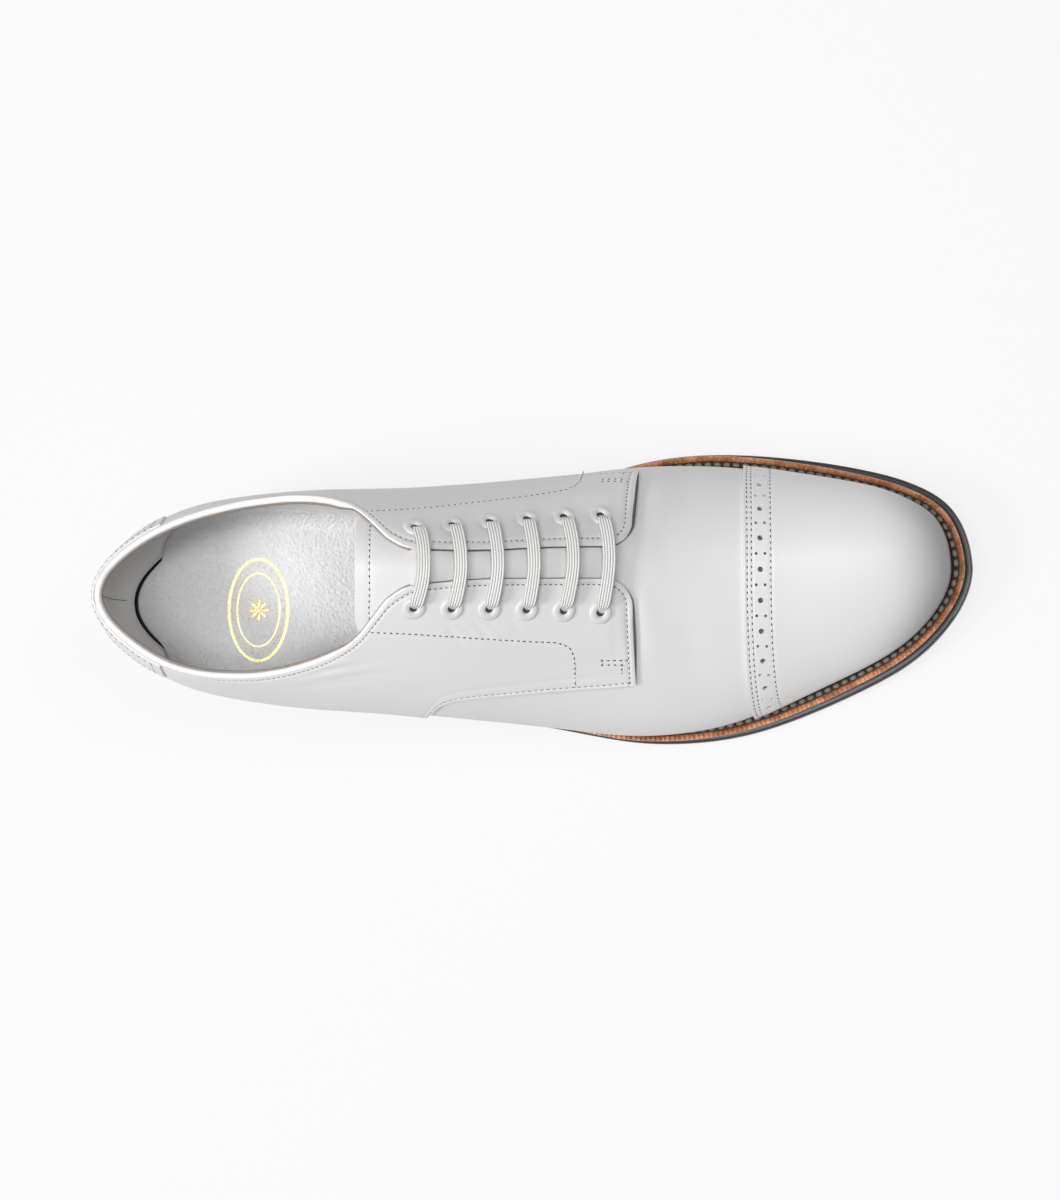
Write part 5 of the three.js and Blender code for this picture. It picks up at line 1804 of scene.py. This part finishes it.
def lace_bar(start, end):
    arch, centre = lace_route(start, end)
    down = np.array(LACE_ENDS)[:, None]
    down_start = start["seat"] - start["normal"] * down
    down_end = end["seat"] - end["normal"] * down[::-1]
    centre = np.vstack([down_start, centre, down_end])
    tail = np.ones(3)
    arch = np.concatenate([tail * 0, arch, tail * 0])
    along = ahead_of(centre)
    toe_ward = np.array([1.0, 0.0, 0.0])
    side = unit(toe_ward[None, :] - along * (along @ toe_ward)[:, None])
    up = unit(np.cross(side, along))
    width = LACE_WIDTH / 2 * mix(0.58, 0.93, smooth(arch, 0.0, 0.45))
    thick = LACE_THICKNESS / 2 * mix(1.25, 0.92, smooth(arch, 0.0, 0.45))
    around = 44
    angle = np.linspace(0, 2 * math.pi, around, endpoint=False)
    cos, sin = np.cos(angle), np.sin(angle)
    flat_x = np.sign(cos) * np.abs(cos) ** 0.62
    flat_y = np.sign(sin) * np.abs(sin) ** 0.72
    rib = 1 + 0.16 * (np.abs(np.cos(LACE_RIBS * math.pi * flat_x / 2)) - 0.5)
    ring = np.stack([width[:, None] * flat_x[None, :], thick[:, None] * (flat_y * rib)[None, :]], axis=-1)
    points = sweep(centre, side, up, ring)
    run = run_of(centre)
    closed_x = np.concatenate([flat_x, flat_x[:1]])
    weave = np.stack(np.broadcast_arrays(run[:, None] / WEAVE_PITCH, (closed_x[None, :] + 1) / 2), axis=-1)
    piece = bar(points, weave)
    shade(piece, 60)
    node = f"lace_bar_{start['pair'] + 1}"
    return dress(piece, f"{node}_braid", "lace", [node])


def laces_and_eyelets():
    frames = eyelet_frames()
    for frame_at in frames:
        eyelet(frame_at)
    eyelet_hole_shade(frames)
    for medial, lateral in zip(frames[0::2], frames[1::2]):
        lace_bar(medial, lateral)


# Seams. Each is a row of places on the skin; its stitches and needle slits are joined meshes.
def bead():
    """Points and faces of a small closed bead, one unit in radius."""
    clear_selection()
    bpy.ops.mesh.primitive_uv_sphere_add(segments=6, ring_count=5, radius=1)
    ball = bpy.context.object
    points = mesh_points(ball)
    faces = [tuple(face.vertices) for face in ball.data.polygons]
    bpy.data.objects.remove(ball)
    return points, faces


def along_path(path, run, marks):
    return np.stack([np.interp(marks, run, path[:, i]) for i in range(3)], axis=-1)


def row_places(path, normal, pitch):
    """Middles, directions and normals of stitches along a path, and of the slits between them."""
    run = run_of(path)
    count = max(int(round(run[-1] / pitch)), 1)
    step = run[-1] / count
    places = []
    for marks in ((np.arange(count) + 0.5) * step, np.arange(count + 1) * step):
        middle = along_path(path, run, marks)
        ahead = along_path(path, run, np.minimum(marks + 0.15, run[-1]))
        behind = along_path(path, run, np.maximum(marks - 0.15, 0))
        places.append((middle, unit(ahead - behind), unit(along_path(normal, run, marks))))
    return places


def seam(turn, share, face, pitch):
    """One row on the skin: its stitches and its slits, with their half sizes and lift."""
    turn, share = as_arrays(turn, share)
    height = face(turn, share)
    path = skin(turn, share, height)
    thread_at, slit_at = row_places(path, normal_at(turn, share), pitch)
    thread = (pitch * STITCH_HALF[0], *STITCH_HALF[1:])
    slit = (pitch * SLIT_HALF[0], *SLIT_HALF[1:])
    return (thread_at, thread, STITCH_LIFT), (slit_at, slit, SLIT_LIFT)


def scatter(groups, name, material):
    """One joined mesh of beads, each group with its own size."""
    ball, faces = bead()
    all_points = []
    all_faces = []
    start = 0
    for (middle, direction, normal), size, lift in groups:
        side = unit(np.cross(normal, direction))
        up = unit(np.cross(direction, side))
        points = (
            middle[:, None, :] + up[:, None, :] * lift
            + ball[None, :, 0, None] * size[0] * direction[:, None, :]
            + ball[None, :, 1, None] * size[1] * side[:, None, :]
            + ball[None, :, 2, None] * size[2] * up[:, None, :]
        )
        for _ in range(len(middle)):
            all_faces.extend(tuple(i + start for i in face) for face in faces)
            start += len(ball)
        all_points.append(points.reshape(-1, 3))
    mesh = bpy.data.meshes.new(name)
    mesh.from_pydata(to_part(np.vstack(all_points)).tolist(), [], all_faces)
    piece = bpy.data.objects.new(name, mesh)
    bpy.context.collection.objects.link(piece)
    edit(piece, (bpy.ops.mesh.normals_make_consistent, {"inside": False}))
    shade(piece, 80)
    return dress(piece, name, material)


def sew(name, rows):
    """One joined mesh of the rows' stitches, and one of the slits between them, near-black as painted shade
    in the needle holes.
    """
    stitches, slits = zip(*rows)
    scatter(stitches, f"{name}_stitches", "thread")
    scatter(slits, f"{name}_needle_slit_shade", "hole")


def on_skin(points):
    """A smooth path through (place along the last, millimetres from the ridge) pairs."""
    at = np.array([point[0] for point in points])
    across = np.array([point[1] for point in points])
    run = np.concatenate([[0], np.cumsum(np.hypot(np.diff(at) * LAST_LENGTH, np.diff(across)))])
    marks = np.linspace(0, run[-1], 200)
    turn = turn_of(np.interp(marks, run, at))
    across = np.interp(marks, run, across)
    return turn, across / girth_at(turn, side_of(across))


# Reinforcement seam of each facing, and the bars of stitches that hold its lower corner.
FACING_SEAMS = {
    "lateral": [(0.350, -21.8), (0.400, -22.8), (0.447, -23.9), (0.515, -25.6), (0.550, -26.2),
                (0.560, -26.9), (0.567, -28.6), (0.5705, -31.5), (0.571, -35.0), (0.569, -44.4)],
    "medial": [(0.346, 24.4), (0.380, 26.0), (0.443, 28.0), (0.512, 29.6), (0.552, 31.2),
               (0.562, 32.4), (0.569, 34.4), (0.573, 37.5), (0.574, 42.0), (0.573, 50.0)],
}
BAR_TACKS = {
    "lateral": [[(0.602, -32.8), (0.631, -32.4)], [(0.602, -34.5), (0.6245, -34.2)],
                [(0.602, -32.8), (0.602, -34.5)], [(0.6245, -34.2), (0.6235, -37.6)]],
    "medial": [[(0.600, 35.4), (0.629, 33.6)], [(0.600, 37.1), (0.622, 35.7)],
               [(0.600, 35.4), (0.600, 37.1)], [(0.622, 35.7), (0.622, 40.5)]],
}

# Half sizes of a stitch and of a slit, the first as a share of the pitch, and their lifts.
STITCH_HALF = (0.31, 0.27, 0.20)
SLIT_HALF = (0.25, 0.27, 0.10)
STITCH_LIFT = 0.04
SLIT_LIFT = 0.02

# Pitches of the rows of stitches.
EDGE_PITCH = 1.95
LOWER_PITCH = 2.15
CAP_PITCH = 2.2
TACK_PITCH = 2.1


def facing_edge_row(side):
    """Row inside the fold, up the front of a facing, round its corner and back along the collar."""
    inset = MEDIAL_STITCH if side > 0 else LATERAL_STITCH
    lower = 60.0
    marks = []
    inner = FACING_CORNER - inset
    for down in np.linspace(lower, FACING_CORNER, 120):
        marks.append((inset, down))
    for angle in np.linspace(0, math.pi / 2, 30)[1:]:
        marks.append((FACING_CORNER - inner * math.cos(angle), FACING_CORNER - inner * math.sin(angle)))
    for back in np.linspace(FACING_CORNER, LAST_LENGTH * (FACING_FRONT_AT - 0.088), 600)[1:]:
        marks.append((back, None))
    turn = []
    share = []
    for back, down in marks:
        at = FACING_FRONT_AT - back / LAST_LENGTH
        here = turn_of(at)
        girth = float(girth_at(here, side))
        top = float(by_side(top_line, at, side)) * girth
        if down is None:
            down = float(stitch_inset(here, side))
        bottom = float(by_side(lower_line, at, side)) * girth
        if top + down > bottom - LOWER_STITCH:
            continue
        turn.append(float(here))
        share.append(side * (top + down) / girth)
    return np.array(turn), np.array(share)


def lower_row(side, inset, start_at, end_at):
    at = np.linspace(start_at, end_at, 260)
    turn = turn_of(at)
    girth = girth_at(turn, side)
    share = side * (by_side(lower_line, at, side) - inset / girth)
    keep = np.abs(share) < 0.97
    return turn[keep], share[keep]


def upper_seams():
    rows = []
    for name, side in (("medial", 1), ("lateral", -1)):
        turn, share = facing_edge_row(side)
        rows.append(seam(turn, share, quarter_face, EDGE_PITCH))
        turn, share = lower_row(side, LOWER_STITCH, 0.36, FACING_FRONT_AT - 0.008)
        rows.append(seam(turn, share, quarter_face, LOWER_PITCH))
        turn, share = lower_row(side, LOWER_SECOND_STITCH, 0.36, FACING_FRONT_AT - 0.014)
        rows.append(seam(turn, share, quarter_face, LOWER_PITCH))
        rows.append(seam(*on_skin(FACING_SEAMS[name]), quarter_face, LOWER_PITCH))
        for tack in BAR_TACKS[name]:
            rows.append(seam(*on_skin(tack), quarter_face, TACK_PITCH))
    sew("quarter", rows)


def backstay_face(turn, share):
    return quarter_outside(turn, share) + BACKSTAY_RISE


def backstay_seams():
    """Rows round the lower edge and ends of the strip behind the heel."""
    rows = []
    columns = np.linspace(-0.93, 0.93, 300)
    turn = np.abs(columns) * turn_of(BACKSTAY_AT)
    sign = side_of(columns)
    girth = girth_at(turn, sign)
    top = by_side(top_line, at_of(turn), sign)
    for depth in (backstay_depth(columns) * 0.9 - 1.4, 2.6 + 0 * columns):
        share = sign * (top + depth / girth)
        rows.append(seam(turn, share, backstay_face, BACKSTAY_ROW_PITCH))
    for end in (-0.93, 0.93):
        down = np.linspace(2.8, BACKSTAY_HEIGHT * 0.55 * 0.9 - 1.6, 40)
        turn = np.full(40, abs(end) * float(turn_of(BACKSTAY_AT)))
        sign = 1 if end > 0 else -1
        share = sign * (by_side(top_line, at_of(turn), sign) + down / girth_at(turn, sign))
        rows.append(seam(turn, share, backstay_face, BACKSTAY_ROW_PITCH))
    sew("backstay", rows)


def heel_lining_seam():
    """Closing seam of the lining, up the inside of the heel."""
    share = np.linspace(0.93, 0.42, 60)
    turn = np.full(60, 0.004)
    centre = skin(turn, share, 0.32)
    normal = normal_at(turn, share)
    along = ahead_of(centre)
    across = unit(np.cross(along, normal))
    return dress(round_bar(centre, normal, across, 0.10, 0.14, 6), "heel_lining_seam", "cut")


def cap_seams():
    rows = []
    share = np.linspace(-0.985, 0.985, 500)
    for back in (CAP_ROW_ONE, CAP_ROW_TWO, CAP_ROW_THREE):
        turn = turn_of(cap_rear(share) + back / LAST_LENGTH)
        rows.append(seam(turn, share, cap_offset, CAP_PITCH))
    sew("toe_cap", rows)


def tongue_seam():
    rows = []
    across = np.linspace(-0.9, 0.9, 120)
    at = tongue_top(across) + TONGUE_STITCH / LAST_LENGTH
    turn = turn_of(at)
    share = across * (TONGUE_HALF_WIDTH + TONGUE_TAPER) / girth_at(turn, side_of(across))
    rows.append(seam(turn, share, lambda t, s: TONGUE_THICKNESS - 0.15 + 0 * t, TONGUE_ROW_PITCH))
    sew("tongue", rows)


WELT_PITCH = 3.4


def welt_stitches():
    """Thick oval stitches lying in the channel, all round the forepart."""
    turn, side = loop_turns(1500)
    reach = both_sides(welt_reach, turn, side) - RIDGE_WIDTH - 0.95
    at = at_of(turn)
    groups = []
    for sign in (-1, 1):
        keep = (side == sign) & (reach > 2.9) & (at > 0.5)
        plan = outline(turn[keep], sign, reach[keep])
        path = np.column_stack([plan, underside(plan[:, 0]) + WELT_TOP - 0.2])
        up = np.broadcast_to([0.0, 0.0, 1.0], path.shape)
        thread_at, _ = row_places(path, up, WELT_PITCH)
        groups.append((thread_at, (1.45, 0.98, 0.6), 0.2))
    return scatter(groups, "welt_stitches", "welt_thread")


# Gold ornament on the sock: two plain ovals with a ring of dots and a small flower.
ORNAMENT_AT = (52.0, -2.0)
ORNAMENT_SIZE = (10.5, 18.0)

# Beads of the ornament: how many in the ring, its reach both ways, and each bead's half sizes.
ORNAMENT_BEADS = (
    (28, (9.03, 15.48), (0.42, 0.42, 0.05)),
    (8, (2.205, 2.205), (1.75, 0.62, 0.06)),
    (8, (4.515, 4.515), (0.8, 0.35, 0.05)),
    (1, (0.0, 0.0), (0.8, 0.8, 0.08)),
)


def oval_band(scale, width):
    angle = np.linspace(0, 2 * math.pi, 129)
    edges = []
    for grow in (-width / 2, width / 2):
        x = ORNAMENT_AT[0] + (ORNAMENT_SIZE[0] * scale + grow) * np.cos(angle)
        y = ORNAMENT_AT[1] + (ORNAMENT_SIZE[1] * scale + grow) * np.sin(angle)
        edges.append(np.column_stack([x, y, foil_height(x, y)]))
    piece = lay(np.stack(edges), np.array([0, 0, 1.0]), weld=0.001, thickness=0.05)
    return dress(piece, f"ornament_oval_{int(scale * 100)}", "gold")


def foil_height(x, y):
    """Top of the sock under a place of the ornament, which follows its dish."""
    turn = turn_of(np.clip((x - HEEL_BACK) / LAST_LENGTH, 0, 1))
    medial = outline(turn, 1, np.full_like(x, -2.6))[..., 1]
    lateral = outline(turn, -1, np.full_like(x, -2.6))[..., 1]
    across = 0.9 * (2 * (y - lateral) / (medial - lateral) - 1)
    return sock_height(x, across) + 0.04


def ornament():
    oval_band(1.0, 0.9)
    oval_band(0.72, 0.5)
    groups = []
    for count, reach, size in ORNAMENT_BEADS:
        angle = np.arange(count) * 2 * math.pi / count
        x = ORNAMENT_AT[0] + reach[0] * np.cos(angle)
        y = ORNAMENT_AT[1] + reach[1] * np.sin(angle)
        middle = np.column_stack([x, y, foil_height(x, y)])
        out = np.column_stack([np.cos(angle), np.sin(angle), 0 * angle])
        up = np.broadcast_to([0.0, 0.0, 1.0], middle.shape)
        groups.append(((middle, out, up), size, 0.0))
    scatter(groups, "ornament_flower", "gold")


# Camera at the photograph's angle: nearly straight down, leaning a little to the toe.
LEAN_TOE = math.radians(9.0)
LEAN_SIDE = math.radians(3.0)
CAMERA_DISTANCE = 1.7
CAMERA_TARGET = (-0.00045, -0.00185, 0.045)
PIXELS_PER_MM = 2.87
IMAGE_HEIGHT = 1200
SENSOR = 36.0


def aim(thing, place, back):
    """Stands a camera or lamp at a place, looking away from back."""
    right = unit(np.cross((0.0, 1.0, 0.0), back))
    axes = np.eye(4)
    axes[:3] = np.column_stack([right, np.cross(back, right), back, place])
    thing.matrix_world = Matrix(axes.tolist())
    bpy.context.collection.objects.link(thing)


def camera():
    back = unit(np.array([math.tan(LEAN_TOE), -math.tan(LEAN_SIDE), 1.0]))
    data = bpy.data.cameras.new("camera")
    data.sensor_width = SENSOR
    data.lens = PIXELS_PER_MM * CAMERA_DISTANCE * 1000 * SENSOR / IMAGE_HEIGHT
    data.clip_end = 20
    view = bpy.data.objects.new("camera", data)
    aim(view, np.array(CAMERA_TARGET) + CAMERA_DISTANCE * back, back)
    bpy.context.scene.camera = view


def area_light(name, place, target, size, power):
    data = bpy.data.lights.new(name, "AREA")
    data.shape = "SQUARE"
    data.size = size
    data.energy = power
    aim(bpy.data.objects.new(name, data), place, unit(np.array(place) - np.array(target)))


def studio():
    bpy.ops.mesh.primitive_plane_add(size=8)
    floor = bpy.context.object
    floor.name = "studio_floor"
    floor.location.z = -0.0002
    floor.data.materials.append(studio_floor())
    world = bpy.data.worlds.new("studio")
    world.use_nodes = True
    world.node_tree.nodes["Background"].inputs["Color"].default_value = rgb(1.0, 1.0, 1.0)
    world.node_tree.nodes["Background"].inputs["Strength"].default_value = 0.175
    bpy.context.scene.world = world
    area_light("key", (-0.95, -0.38, 1.30), (0.0, 0.0, 0.03), 0.4, 14)
    area_light("overhead", (-0.12, -0.12, 1.8), (0.0, 0.0, 0.03), 0.6, 13.6)
    area_light("toe_glow", (0.50, 0.30, 1.5), (0.10, 0.0, 0.03), 0.3, 4.7)
    bpy.context.scene.view_settings.view_transform = "Standard"


vamp()
quarters()
lining()
punch_shade_backing()
toe_cap()
tongue()
collar_roll()
facing_edges()
collar_raw_edge()
backstay()
outsole()
welt()
welt_ridge()
insole()
heel()
laces_and_eyelets()
upper_seams()
backstay_seams()
heel_lining_seam()
cap_seams()
tongue_seam()
welt_stitches()
ornament()
camera()
studio()
